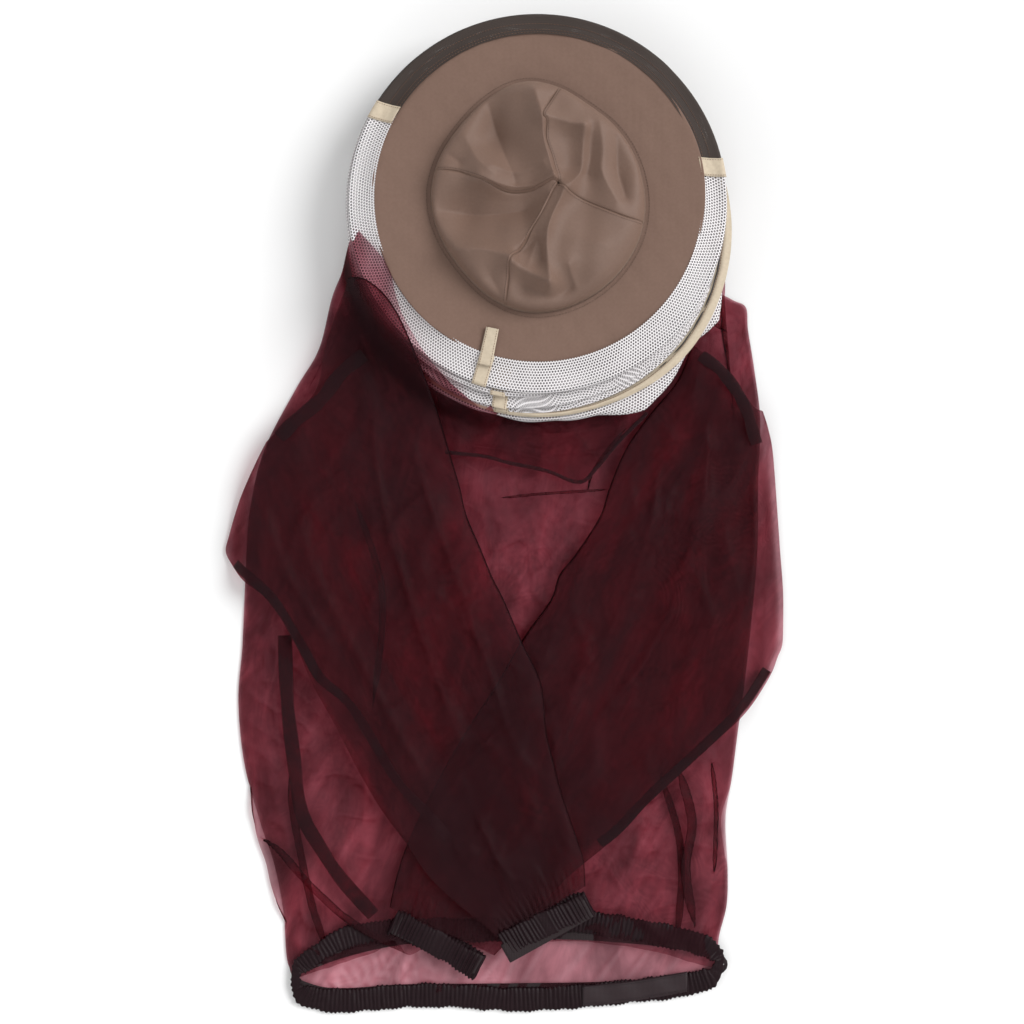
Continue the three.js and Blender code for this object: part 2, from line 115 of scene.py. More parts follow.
class Graph:
    # A node tree with short calls for adding and joining its nodes.

    def __init__(self, tree):
        self.tree = tree

    def node(self, kind, **settings):
        made = self.tree.nodes.new(kind)
        for key, value in settings.items():
            setattr(made, key, value)
        return made

    def link(self, source, target):
        self.tree.links.new(source, target)

    def value(self, socket, what):
        if isinstance(what, bpy.types.NodeSocket):
            self.link(what, socket)
        else:
            socket.default_value = what

    def math(self, operation, a, b=0.0, clamp=False):
        made = self.node("ShaderNodeMath", operation=operation, use_clamp=clamp)
        self.value(made.inputs[0], a)
        self.value(made.inputs[1], b)
        return made.outputs[0]

    def vector(self, operation, a, b=(0, 0, 0), output=0):
        made = self.node("ShaderNodeVectorMath", operation=operation)
        self.value(made.inputs[0], a)
        self.value(made.inputs[1], b)
        return made.outputs[output]

    def noise(self, vector, scale, detail=3.0, roughness=0.5, distortion=0.0):
        made = self.node("ShaderNodeTexNoise")
        self.value(made.inputs["Vector"], vector)
        made.inputs["Scale"].default_value = scale
        made.inputs["Detail"].default_value = detail
        made.inputs["Roughness"].default_value = roughness
        made.inputs["Distortion"].default_value = distortion
        return made.outputs["Fac"]

    def rangeMap(self, value, fromLow, fromHigh, toLow, toHigh):
        made = self.node("ShaderNodeMapRange")
        self.value(made.inputs["Value"], value)
        for name, number in (("From Min", fromLow), ("From Max", fromHigh), ("To Min", toLow),
                             ("To Max", toHigh)):
            self.value(made.inputs[name], number)
        return made.outputs["Result"]

    def mixColor(self, factor, a, b, blend="MIX"):
        made = self.node("ShaderNodeMix", data_type="RGBA", blend_type=blend)
        self.value(made.inputs["Factor"], factor)
        self.value(made.inputs["A"], a)
        self.value(made.inputs["B"], b)
        return made.outputs["Result"]

    def bump(self, height, distance, strength=1.0):
        made = self.node("ShaderNodeBump")
        self.link(height, made.inputs["Height"])
        made.inputs["Distance"].default_value = distance
        made.inputs["Strength"].default_value = strength
        return made.outputs["Normal"]


def newMaterial(name):
    material = bpy.data.materials.new(name)
    material.use_nodes = True
    graph = Graph(material.node_tree)
    shader = material.node_tree.nodes["Principled BSDF"]
    return material, graph, shader, material.node_tree.nodes["Material Output"]


def plainMaterial(name, color, roughness):
    material, graph, shader, output = newMaterial(name)
    shader.inputs["Base Color"].default_value = (*color, 1)
    shader.inputs["Roughness"].default_value = roughness
    return material


def newGroup(name, inputs, outputs):
    tree = bpy.data.node_groups.new(name, "ShaderNodeTree")
    for label, kind, value in inputs:
        socket = tree.interface.new_socket(label, in_out="INPUT", socket_type=kind)
        if value is not None:
            socket.default_value = value
    for label, kind in outputs:
        tree.interface.new_socket(label, in_out="OUTPUT", socket_type=kind)
    graph = Graph(tree)
    return tree, graph, graph.node("NodeGroupInput").outputs, graph.node("NodeGroupOutput").inputs


def useGroup(graph, tree, **values):
    made = graph.node("ShaderNodeGroup", node_tree=tree)
    for label, what in values.items():
        graph.value(made.inputs[label], what)
    return made.outputs


def rgba(color):
    return (*color, 1)


def makeWeaveGroup():
    # Crossed threads of a plain or twill weave: a height, and a small change of shade from yarn to yarn.
    tree, g, given, out = newGroup(
        "weave",
        [("Vector", "NodeSocketVector", None), ("Pitch", "NodeSocketFloat", 0.001),
         ("Twill", "NodeSocketFloat", 0.0)],
        [("Height", "NodeSocketFloat"), ("Shade", "NodeSocketFloat")],
    )
    across = g.node("ShaderNodeSeparateXYZ")
    scaled = g.node("ShaderNodeVectorMath", operation="SCALE")
    g.link(given["Vector"], scaled.inputs[0])
    g.link(g.math("DIVIDE", 2 * math.pi, given["Pitch"]), scaled.inputs["Scale"])
    g.link(scaled.outputs[0], across.inputs[0])
    x, y = across.outputs["X"], across.outputs["Y"]
    slant = g.math("ADD", x, g.math("MULTIPLY", y, given["Twill"]))
    warp = g.math("SINE", slant)
    weft = g.math("SINE", y)
    g.link(g.math("ADD", g.math("MULTIPLY", warp, 0.5), g.math("MULTIPLY", weft, 0.35)), out["Height"])
    g.link(g.noise(given["Vector"], 420, 2), out["Shade"])
    return tree


def makeMottleGroup():
    # Slow cloudy change of shade over a cloth, from handling and dye.
    tree, g, given, out = newGroup(
        "mottle",
        [("Vector", "NodeSocketVector", None), ("Amount", "NodeSocketFloat", 0.1)],
        [("Factor", "NodeSocketFloat")],
    )
    broad = g.noise(given["Vector"], 14, 4, 0.6)
    fine = g.noise(given["Vector"], 130, 3, 0.6)
    both = g.math("ADD", g.math("MULTIPLY", broad, 0.65), g.math("MULTIPLY", fine, 0.35))
    swing = g.math("MULTIPLY", g.math("SUBTRACT", both, 0.5), g.math("MULTIPLY", given["Amount"], 2.0))
    g.link(g.math("ADD", 1.0, swing), out["Factor"])
    return tree


def makeMoireGroup():
    # The watery grain that two sheer layers show where their threads nearly line up.
    tree, g, given, out = newGroup(
        "moire",
        [("Vector", "NodeSocketVector", None), ("Amount", "NodeSocketFloat", 0.1)],
        [("Factor", "NodeSocketFloat")],
    )
    bands = g.noise(given["Vector"], 9, 2, 0.5, 0.9)
    lines = g.math("SINE", g.math("MULTIPLY", bands, 150.0))
    patches = g.rangeMap(g.noise(given["Vector"], 7, 1), 0.5, 0.7, 0.0, 1.0)
    g.link(g.math("MULTIPLY", g.math("MULTIPLY", lines, patches), given["Amount"]), out["Factor"])
    return tree


def makeHoleGroup():
    # Round holes of a knitted mesh in offset rows. Mask is 1 on the yarn and 0 in a hole.
    tree, g, given, out = newGroup(
        "holes",
        [("Vector", "NodeSocketVector", None), ("Pitch", "NodeSocketFloat", 0.002),
         ("Open", "NodeSocketFloat", 0.3)],
        [("Mask", "NodeSocketFloat"), ("Height", "NodeSocketFloat")],
    )
    scaled = g.node("ShaderNodeVectorMath", operation="SCALE")
    g.link(given["Vector"], scaled.inputs[0])
    g.link(g.math("DIVIDE", 1.0, given["Pitch"]), scaled.inputs["Scale"])
    rowRatio = 1.732
    cells = g.vector("DIVIDE", scaled.outputs[0], (1, rowRatio, 1))
    distances = []
    for shift in (0.0, 0.5):
        moved = g.vector("ADD", cells, (shift, shift, 0))
        local = g.vector("SUBTRACT", g.vector("FRACTION", moved), (0.5, 0.5, 0))
        flat = g.vector("MULTIPLY", local, (1, rowRatio, 0))
        distances.append(g.vector("LENGTH", flat, output="Value"))
    nearest = g.math("MINIMUM", *distances)
    g.link(g.rangeMap(nearest, g.math("SUBTRACT", given["Open"], 0.06),
                      g.math("ADD", given["Open"], 0.06), 0, 1), out["Mask"])
    g.link(nearest, out["Height"])
    return tree


weaveGroup = makeWeaveGroup()
mottleGroup = makeMottleGroup()
moireGroup = makeMoireGroup()
holeGroup = makeHoleGroup()


def objectPlace(g):
    return g.node("ShaderNodeTexCoord").outputs["Object"]


def wovenMaterial(name, color, dark, pitch, roughness, twill=0.0, mottle=0.1, sheen=0.0, lift=0.00015,
                  tint=None, gloss=0.35):
    # An opaque woven cloth: yarn relief, cloudy shade and a little sheen.
    material, g, shader, output = newMaterial(name)
    place = objectPlace(g)
    weave = useGroup(g, weaveGroup, Vector=place, Pitch=pitch, Twill=twill)
    cloud = useGroup(g, mottleGroup, Vector=place, Amount=mottle)
    yarn = g.mixColor(weave["Shade"], rgba(dark), rgba(color))
    shaded = g.vector("SCALE", yarn)
    g.link(cloud["Factor"], shaded.node.inputs["Scale"])
    g.link(shaded, shader.inputs["Base Color"])
    g.link(g.bump(weave["Height"], lift, 0.6), shader.inputs["Normal"])
    shader.inputs["Roughness"].default_value = roughness
    shader.inputs["Sheen Weight"].default_value = sheen
    shader.inputs["Sheen Tint"].default_value = rgba(tint or color)
    shader.inputs["Specular IOR Level"].default_value = gloss
    return material


organza = {
    "through": (0.722, 0.512, 0.548),  # light that one layer lets through between and inside its threads
    "slope": 1.25,  # how much faster than its thickness a sloped cloth darkens
    "thread": (0.12, 0.044, 0.056),
    "cover": 0.10,  # share of the surface that shows the thread's own colour
    "seamCover": 0.30,
    "seamThread": (0.030, 0.009, 0.013),
    "moire": 0.05,
    "streak": 0.2,  # long cloudy streaky bands over the crumpled layers: partly denser and thinner cloth, partly painted sheen and painted fold shade
    "streakScale": 24.0,
}


def sheerMaterial(name, angle, stretch, cover, thread, roughness=0.5):
    # Organza: tinted light passes, more of it is lost through a slope, and nylon threads give a satin
    # glint.
    material, g, shader, output = newMaterial(name)
    place = objectPlace(g)
    cloud = useGroup(g, mottleGroup, Vector=place, Amount=0.16)
    grain = useGroup(g, moireGroup, Vector=place, Amount=organza["moire"])
    turned = g.node("ShaderNodeMapping", vector_type="TEXTURE")
    g.link(place, turned.inputs["Vector"])
    turned.inputs["Rotation"].default_value = (0, 0, angle)
    turned.inputs["Scale"].default_value = (stretch, 1, 1)
    # Long streaky bands lighten and darken the light let through and the threads' share: partly denser and
    # thinner cloth, partly painted sheen and painted fold shade.
    densityAndSheenStreaks = g.noise(turned.outputs[0], organza["streakScale"], 5, 0.62, 1.2)
    streak = g.rangeMap(densityAndSheenStreaks, 0.32, 0.68, -organza["streak"], organza["streak"])
    weave = useGroup(g, weaveGroup, Vector=place, Pitch=0.0012, Twill=0.0)
    facing = g.node("ShaderNodeLayerWeight")
    facing.inputs["Blend"].default_value = 0.5
    upright = g.math("MAXIMUM", g.math("SUBTRACT", 1.0, facing.outputs["Facing"]), 0.16)
    layers = g.math("POWER", g.math("DIVIDE", 1.0, upright), organza["slope"])
    tint = g.node("ShaderNodeCombineColor")
    for channel, share in zip(("Red", "Green", "Blue"), organza["through"]):
        g.link(g.math("POWER", share, layers), tint.inputs[channel])
    factor = g.math("ADD", g.math("ADD", cloud["Factor"], grain["Factor"]), streak)
    scaledTint = g.vector("SCALE", tint.outputs[0])
    g.link(factor, scaledTint.node.inputs["Scale"])
    clear = g.node("ShaderNodeBsdfTransparent")
    g.link(scaledTint, clear.inputs["Color"])
    shader.inputs["Base Color"].default_value = rgba(thread)
    shader.inputs["Roughness"].default_value = roughness
    shader.inputs["Sheen Weight"].default_value = 0.2
    shader.inputs["Sheen Tint"].default_value = (0.8, 0.35, 0.4, 1)
    shader.inputs["Specular IOR Level"].default_value = 0.25
    g.link(g.bump(weave["Height"], 0.0001, 0.4), shader.inputs["Normal"])
    blend = g.node("ShaderNodeMixShader")
    g.link(g.math("ADD", g.math("MULTIPLY", streak, -0.12), cover, True), blend.inputs["Fac"])
    g.link(clear.outputs[0], blend.inputs[1])
    g.link(shader.outputs[0], blend.inputs[2])
    g.link(blend.outputs[0], output.inputs["Surface"])
    return material


def meshMaterial(name, color, dark, pitch, opening, roughness):
    # A knitted mesh with real see-through holes, laid out on the cloth's own measure. The yarn goes from
    # the dark colour at each hole's edge to its own colour further out: painted shade round the holes.
    material, g, shader, output = newMaterial(name)
    cloth = g.node("ShaderNodeUVMap", uv_map="cloth")
    holes = useGroup(g, holeGroup, Vector=cloth.outputs["UV"], Pitch=pitch, Open=opening)
    cloud = useGroup(g, mottleGroup, Vector=objectPlace(g), Amount=0.12)
    # painted shade: dark at a hole's edge, the yarn's own colour further out
    paintedHoleShade = g.rangeMap(holes["Height"], opening, opening + 0.22, 0.0, 1.0)
    yarn = g.mixColor(paintedHoleShade, rgba(dark), rgba(color))
    shaded = g.vector("SCALE", yarn)
    g.link(cloud["Factor"], shaded.node.inputs["Scale"])
    g.link(shaded, shader.inputs["Base Color"])
    g.link(holes["Mask"], shader.inputs["Alpha"])
    g.link(g.bump(holes["Height"], 0.0004, 0.5), shader.inputs["Normal"])
    shader.inputs["Roughness"].default_value = roughness
    return material


def wireMaterial():
    # Oiled spring steel, with faint draw marks.
    material, g, shader, output = newMaterial("hoop_steel")
    marks = useGroup(g, mottleGroup, Vector=objectPlace(g), Amount=0.2)
    shade = g.vector("SCALE", (0.16, 0.16, 0.165))
    g.link(marks["Factor"], shade.node.inputs["Scale"])
    g.link(shade, shader.inputs["Base Color"])
    shader.inputs["Metallic"].default_value = 1.0
    shader.inputs["Roughness"].default_value = 0.38
    return material


def makeMaterials():
    return {
        "organza": sheerMaterial("organza", math.radians(75), 2.5, organza["cover"], organza["thread"]),
        "organzaLeft": sheerMaterial("organza_left_sleeve", math.radians(-66), 5.0, organza["cover"],
                                     organza["thread"]),
        "organzaRight": sheerMaterial("organza_right_sleeve", math.radians(-118), 5.0, organza["cover"],
                                      organza["thread"]),
        "organzaSeam": sheerMaterial("organza_seam", 0.0, 1.0, organza["seamCover"], organza["seamThread"]),
        "casing": wovenMaterial("gathered_organza", (0.015, 0.0045, 0.0070), (0.007, 0.0022, 0.0035),
                                0.0014, 0.45, mottle=0.25, sheen=0.04, tint=(0.4, 0.12, 0.18), gloss=0.14),
        "brim": wovenMaterial("brim_cloth", (0.207, 0.127, 0.096), (0.173, 0.104, 0.077), 0.0011, 0.75,
                              mottle=0.05, sheen=0.15, tint=(0.8, 0.6, 0.5)),
        "crown": wovenMaterial("crown_cloth", (0.198, 0.122, 0.091), (0.167, 0.101, 0.075), 0.0010,
                               0.52, twill=1.0, mottle=0.06, sheen=0.2, tint=(0.8, 0.62, 0.5)),
        "tape": wovenMaterial("twill_tape", (0.66, 0.565, 0.43), (0.52, 0.43, 0.32), 0.0011, 0.75,
                              twill=1.0, mottle=0.12),
        "thread": wovenMaterial("seam_thread", (0.24, 0.12, 0.075), (0.16, 0.08, 0.05), 0.0005, 0.6),
        # Each mesh's second colour is painted shade round its holes.
        "window": meshMaterial("black_mesh", (0.045, 0.031, 0.025), (0.014, 0.010, 0.009), 0.0017, 0.10,
                               0.8),
        "side": meshMaterial("white_mesh", (0.90, 0.87, 0.875), (0.16, 0.14, 0.15), 0.0030, 0.24, 0.7),
        "wire": wireMaterial(),
        "elastic": wovenMaterial("elastic_band", (0.020, 0.009, 0.011), (0.010, 0.0045, 0.0055), 0.0016,
                                 0.7),
        "crownThread": wovenMaterial("crown_thread", (0.12, 0.07, 0.05), (0.08, 0.05, 0.035), 0.0005, 0.6),
        "darkThread": wovenMaterial("dark_thread", (0.02, 0.012, 0.014), (0.01, 0.006, 0.008), 0.0005, 0.5),
        "patch": wovenMaterial("flat_casing", (0.021, 0.0075, 0.0105), (0.012, 0.0045, 0.0065), 0.0012,
                               0.45, mottle=0.12, sheen=0.06, tint=(0.5, 0.25, 0.3)),
        "sweatband": wovenMaterial("sweatband_cloth", (0.20, 0.125, 0.095), (0.16, 0.10, 0.075), 0.0014,
                                   0.8),
        "foam": wovenMaterial("brim_foam", (0.62, 0.58, 0.52), (0.5, 0.46, 0.4), 0.002, 0.95),
    }


def newPiece(name, points, faces, material, uv=None, smooth=True):
    mesh = bpy.data.meshes.new(name)
    mesh.from_pydata([(x, y, max(z, 0.2 * mm)) for x, y, z in points], [],
                     [tuple(int(i) for i in f) for f in faces])
    if smooth:
        mesh.polygons.foreach_set("use_smooth", [True] * len(mesh.polygons))
    if uv is not None:
        layer = mesh.uv_layers.new(name="cloth")
        corner = np.zeros(len(mesh.loops), np.int32)
        mesh.loops.foreach_get("vertex_index", corner)
        layer.data.foreach_set("uv", np.asarray(uv, np.float32)[corner].ravel())
    mesh.materials.append(material)
    piece = bpy.data.objects.new(name, mesh)
    bpy.context.scene.collection.objects.link(piece)
    return piece


def gridFaces(rows, columns, closed=False):
    # Quads of a grid of points stored row after row; closed joins the last column to the first.
    i, j = np.meshgrid(np.arange(rows - 1), np.arange(columns if closed else columns - 1), indexing="ij")
    k = (j + 1) % columns
    return np.stack([i * columns + j, i * columns + k, (i + 1) * columns + k, (i + 1) * columns + j],
                    -1).reshape(-1, 4)


def smoothStep(t):
    t = np.clip(t, 0, 1)
    return t * t * (3 - 2 * t)


def resample(points, count):
    # The same line with evenly spaced points.
    points = np.asarray(points, float)
    steps = np.linalg.norm(np.diff(points, axis=0), axis=1)
    along = np.concatenate([[0], np.cumsum(steps)])
    at = np.linspace(0, along[-1], count)
    return np.stack([np.interp(at, along, points[:, k]) for k in range(points.shape[1])], -1)


def smoothLine(points, rounds=2):
    points = np.asarray(points, float)
    for _ in range(rounds):
        middle = 0.25 * points[:-2] + 0.5 * points[1:-1] + 0.25 * points[2:]
        points = np.concatenate([points[:1], middle, points[-1:]])
    return points


def spline(points, count):
    # A smooth curve through a few chosen points, evenly spaced.
    p = np.asarray(points, float)
    p = np.concatenate([2 * p[:1] - p[1:2], p, 2 * p[-1:] - p[-2:-1]])
    t = np.linspace(0, 1, 16, endpoint=False)[:, None]
    out = []
    for a, b, c, d in zip(p[:-3], p[1:-2], p[2:-1], p[3:]):
        out.append(0.5 * (2 * b + (c - a) * t + (2 * a - 5 * b + 4 * c - d) * t ** 2
                          + (3 * b - a - 3 * c + d) * t ** 3))
    return resample(np.concatenate(out + [p[-2:-1]]), count)


def waves(x, y, seed, size, count=7, stretch=(1.0, 1.0), warp=0.4):
    # Soft irregular relief from a seeded sum of bent sine waves, about -1 to 1.
    rng = np.random.default_rng(seed)
    x, y = x / size / stretch[0], y / size / stretch[1]
    total = np.zeros_like(x)
    for _ in range(count):
        angle, phase, bend, phase2 = rng.uniform(0, 2 * math.pi, 4)
        k = rng.uniform(0.7, 1.5)
        ux, uy = math.cos(angle), math.sin(angle)
        shift = warp * np.sin((x * math.cos(bend) + y * math.sin(bend)) * 0.8 + phase2)
        total += np.sin((x * ux + y * uy + shift) * 2 * math.pi * k + phase)
    return total / math.sqrt(count)


def creases(x, y, seed, size, **more):
    # Sharp ridges with broad valleys between, as crisp cloth has.
    return 1 - 2 * np.abs(waves(x, y, seed, size, **more)).clip(0, 1) ** 0.7


def centre(node):
    low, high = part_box(node)
    return np.array([(low.x + high.x) / 2, (low.y + high.y) / 2])


def reach(node):
    low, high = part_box(node)
    return (high.x - low.x) / 2


def lowZ(node):
    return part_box(node)[0].z


def highZ(node):
    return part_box(node)[1].z


def patch(bottom, right, top, left, rows, columns):
    # A grid of points inside four edges. Rows run from bottom to top and columns from left to right.
    b, t = resample(bottom, columns), resample(top, columns)
    l, r = resample(left, rows), resample(right, rows)
    u = np.linspace(0, 1, rows)[:, None, None]
    v = np.linspace(0, 1, columns)[None, :, None]
    ruled = (1 - u) * b[None] + u * t[None] + (1 - v) * l[:, None] + v * r[:, None]
    corners = (1 - u) * (1 - v) * b[0] + (1 - u) * v * b[-1] + u * (1 - v) * t[0] + u * v * t[-1]
    return ruled - corners


hatMiddle = centre("brim_upper_cover")
brimRadius = reach("brim_upper_cover")
headRadius = reach("sweatband") + 3 * mm
brimTop = highZ("brim_upper_cover")
hoopMiddle = centre("upper_hoop_wire")
hoopRadius = reach("upper_hoop_wire")
lowHoopMiddle = centre("lower_hoop_casing")
lowHoopRadius = reach("lower_hoop_casing")

brim = {"warp": 1.4 * mm, "edgeRound": 1.2 * mm, "segments": 220, "stitchRow": 3.2 * mm}


def polar(middle, radius, angle):
    return middle[0] + radius * np.cos(angle), middle[1] + radius * np.sin(angle)


def brimWarp(angle, share):
    # The brim's slow waviness: none at the head seam, full at the edge.
    return brim["warp"] * share * (np.sin(2 * angle + 0.6) + 0.6 * np.sin(3 * angle + 2.1) + 0.35
                                   * np.sin(7 * angle))


def brimSkin(name, inner, outer, profile, node, material):
    # A ring whose section is a list of (share of the way out, height).
    angles = np.linspace(0, 2 * math.pi, brim["segments"], endpoint=False)
    points = []
    for share, height in profile:
        radius = inner + share * (outer - inner)
        wobble = 1 + 0.006 * share * np.sin(2 * angles + 1.0) + 0.004 * share * np.sin(5 * angles)
        x, y = polar(hatMiddle, radius * wobble, angles)
        grain = 0.25 * mm * waves(x, y, 5, 0.03) * min(1.0, 3 * share)
        z = height + brimWarp(angles, share) + grain
        points.append(np.stack([x, y, z], -1))
    faces = gridFaces(len(profile), brim["segments"], True)
    piece = newPiece(name, np.concatenate(points), faces, material)
    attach(piece, "hat")
    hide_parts(node)
    return piece


def makeBrim(looks):
    steps = np.linspace(0, 1, 26)
    rise = 1.6 * mm  # the head seam lifts the brim a little at the crown
    topSide = [(s, brimTop + rise * (1 - s) ** 3) for s in steps]
    edge = [(1 + 0.012 * math.sin(a), brimTop - 0.5 * brim["edgeRound"] * 2 * (1 - math.cos(a))
             / 2) for a in (0.7, 1.4, 2.2)]
    skirt = [(1.004, brimTop - 3.2 * mm)]
    cover = brimSkin("brimUpperCover", 0.9 * headRadius, brimRadius, topSide + edge + skirt,
                     "brim_upper_cover", looks["brim"])
    foamTop = brimTop - 1.8 * mm
    foamBottom = lowZ("brim_lower_cover") + 1.4 * mm
    foam = brimSkin("brimFoam", headRadius, brimRadius - 2 * mm,
                    [(0, foamTop), (1, foamTop), (1, foamBottom), (0, foamBottom), (0, foamTop)],
                    "brim_stiffener", looks["foam"])
    under = lowZ("brim_lower_cover")
    lower = [(1.006, brimTop - 3.4 * mm), (1.002, under + 0.8 * mm),
             (0.99, under)] + [(s, under) for s in steps[::-1][1:]]
    back = brimSkin("brimLowerCover", headRadius, brimRadius, lower, "brim_lower_cover", looks["brim"])


# The crown is pushed down into itself. All places are shares of the head seam's radius. A seam runs
# from the
# head seam to the peak. A fold is a line of places, its height (valleys are negative), and its width.
crown = {
    "long": 1.07,  # the head seam is this much longer than wide
    "height": 30 * mm,
    "peak": (0.187, 0.089),
    "seams": {
        "left": [(-0.975, 0.222), (-0.753, 0.20), (-0.525, 0.115), (-0.30, 0.02), (-0.07, 0.03),
                 (0.12, 0.11)],
        "front": [(0.205, 0.979), (0.04, 0.687), (0.07, 0.617), (0.07, 0.476), (0.138, 0.32),
                  (0.184, 0.16)],
        "right": [(0.972, -0.235), (0.774, -0.195), (0.547, -0.11), (0.32, -0.004), (0.243, 0.055)],
        "rear": [(-0.309, -0.951), (-0.278, -0.724), (-0.263, -0.569), (-0.15, -0.47), (-0.06, -0.30),
                 (0.032, -0.16), (0.138, 0.03)],
    },
    "panels": [("front", "left"), ("left", "rear"), ("rear", "right"), ("right", "front")],
    "folds": [
        ([(0.10, 0.0), (-0.02, -0.22), (-0.17, -0.44)], 9.0, 0.09),
        ([(-0.45, 0.24), (-0.20, 0.19), (0.04, 0.26)], 8.0, 0.10),
        ([(-0.48, 0.80), (-0.36, 0.45), (-0.22, 0.10)], -13.5, 0.17),
        ([(-0.70, 0.50), (-0.58, 0.30), (-0.42, 0.16)], 9.0, 0.15),
        ([(-0.85, 0.36), (-0.74, 0.28)], -7.5, 0.08),
        ([(-0.04, 0.88), (0.02, 0.68), (0.05, 0.45), (0.15, 0.16)], 10.5, 0.10),
        ([(0.06, 0.66), (0.25, 0.65), (0.45, 0.62)], 9.8, 0.07),
        ([(0.45, 0.62), (0.43, 0.40), (0.40, 0.20), (0.30, 0.08)], 7.5, 0.06),
        ([(0.52, 0.62), (0.50, 0.35), (0.46, 0.18)], -6.0, 0.07),
        ([(0.60, 0.66), (0.62, 0.40), (0.60, 0.18), (0.72, -0.08)], 7.5, 0.08),
        ([(0.76, 0.52), (0.75, 0.22), (0.80, -0.02)], -8.2, 0.07),
        ([(0.24, 0.04), (0.10, -0.25), (0.07, -0.45), (0.10, -0.76)], 13.5, 0.075),
        ([(-0.25, -0.60), (-0.08, -0.68), (0.09, -0.77)], 11.2, 0.06),
        ([(-0.16, -0.50), (-0.02, -0.40), (0.02, -0.56)], -9.0, 0.10),
        ([(-0.12, -0.80), (0.10, -0.88), (0.30, -0.80)], -9.0, 0.10),
        ([(0.28, -0.62), (0.34, -0.80)], 6.8, 0.08),
        ([(0.60, -0.45), (0.35, -0.40)], 7.5, 0.30),
        ([(-0.80, -0.50), (-0.55, -0.50), (-0.27, -0.55)], 9.8, 0.07),
        ([(-0.90, -0.12), (-0.50, -0.16), (-0.15, -0.14)], -12.0, 0.17),
        ([(-0.55, 0.14), (-0.30, 0.07), (-0.05, 0.08), (0.14, 0.16)], 9.0, 0.06),
        ([(-0.45, -0.72), (-0.36, -0.86)], -5.2, 0.07),
    ],
    # How far the cloth puffs out to its edge, by direction in degrees.
    "bulge": [(-180, 1.0), (-138, 0.94), (-100, 1.0), (-60, 0.985), (-15, 1.0), (10, 0.97), (35, 0.94),
              (60, 0.905), (80, 0.965),
              (100, 1.01), (119, 0.965), (140, 0.94), (167, 0.985), (180, 1.0)],
    "dents": [(-0.66, -0.14, -12, 0.26), (-0.47, 0.56, -9, 0.2), (-0.72, 0.42, -5, 0.12),
              (0.84, 0.28, -6, 0.16), (0.30, -0.80, -5, 0.2), (-0.12, 0.50, 4, 0.14)],
    "seamDip": 1.5 * mm,
    "segments": 90,
    "rings": 64,
}


def lineDistance(x, y, line):
    # Distance of each point from a broken line, and how far along the line it is, from 0 to 1.
    line = np.asarray(line, float)
    best = np.full(x.shape, 1e9)
    where = np.zeros(x.shape)
    count = len(line) - 1
    for i, (a, b) in enumerate(zip(line[:-1], line[1:])):
        d = b - a
        t = np.clip(((x - a[0]) * d[0] + (y - a[1]) * d[1]) / max(d @ d, 1e-12), 0, 1)
        gap = np.hypot(x - a[0] - t * d[0], y - a[1] - t * d[1])
        nearer = gap < best
        best = np.where(nearer, gap, best)
        where = np.where(nearer, (i + t) / count, where)
    return best, where


def crownHeight(x, y):
    # Height of the crown's cloth over the head seam, for places in shares of the head radius.
    r = np.hypot(x, y).clip(0, 1)
    wall = 1 - (r ** 16)
    toPeak = np.hypot(x - crown["peak"][0], y - crown["peak"][1])
    height = crown["height"] * (wall ** 0.55) * (0.80 - 0.30 * np.exp(-((toPeak / 0.33) ** 2)))
    for line, rise, width in crown["folds"]:
        gap, _ = lineDistance(x, y, spline(line, 24))
        sharp = 0.55 * np.exp(-gap / (0.75 * width)) + 0.45 * np.exp(-((gap / (1.5 * width)) ** 2))
        height += rise * mm * sharp * wall
    for dentX, dentY, rise, size in crown["dents"]:
        height += rise * mm * np.exp(-(((x - dentX) ** 2 + (y - dentY) ** 2) / size ** 2)) * wall
    height += 0.7 * mm * waves(x, y, 11, 0.35) * wall
    for seam in crown["seams"].values():
        gap, _ = lineDistance(x, y, spline([*seam, crown["peak"]], 40))
        height -= crown["seamDip"] * np.exp(-gap / 0.012) * wall
    return height


def crownPuff(angles):
    table = np.array(crown["bulge"], float)
    wanted = np.degrees(angles)
    return sum(np.interp((wanted + turn + 180) % 360 - 180, table[:, 0], table[:, 1]) for turn in (-9,
        -4, 0, 4, 9)) / 5


def onCrown(x, y, lift=0.0):
    # Turns shares of the head radius into places in the frame, on the crown's cloth.
    z = brimTop + 1.2 * mm + crownHeight(x, y) + lift
    puff = crownPuff(np.arctan2(y, x))
    x, y = x * puff, y * puff
    return np.stack([hatMiddle[0] + x * headRadius, hatMiddle[1] + y * headRadius * crown["long"], z], -1)


def makeCrown(looks):
    cadNames = {("front", "left"): "crown_front_left", ("left", "rear"): "crown_rear_left",
                ("rear", "right"): "crown_rear_right", ("right", "front"): "crown_front_right"}
    for a, b in crown["panels"]:
        first, last = crown["seams"][a][0], crown["seams"][b][0]
        start = math.atan2(first[1], first[0])
        end = math.atan2(last[1], last[0])
        end += 2 * math.pi if end < start else 0
        sweep = np.linspace(start, end, 60)
        base = np.stack([np.cos(sweep), np.sin(sweep)], -1)
        leftSide = spline([base[0], *crown["seams"][a][1:], crown["peak"]], crown["rings"])
        rightSide = spline([base[-1], *crown["seams"][b][1:], crown["peak"]], crown["rings"])
        grid = patch(base, rightSide, [crown["peak"], crown["peak"]], leftSide, crown["rings"],
                     crown["segments"])
        flat = grid.reshape(-1, 2)
        points = onCrown(flat[:, 0], flat[:, 1])
        name = cadNames[(a, b)]
        piece = newPiece("crown" + "".join(w.title() for w in name.split("_")[1:]), points,
                         gridFaces(*grid.shape[:2]), looks["crown"])
        mesh = bmesh.new()
        mesh.from_mesh(piece.data)
        bmesh.ops.remove_doubles(mesh, verts=mesh.verts, dist=1e-6)
        mesh.to_mesh(piece.data)
        mesh.free()
        thick = piece.modifiers.new("cloth", "SOLIDIFY")
        thick.thickness = 0.8 * mm
        thick.offset = -1
        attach(piece, "hat")
        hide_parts(name)


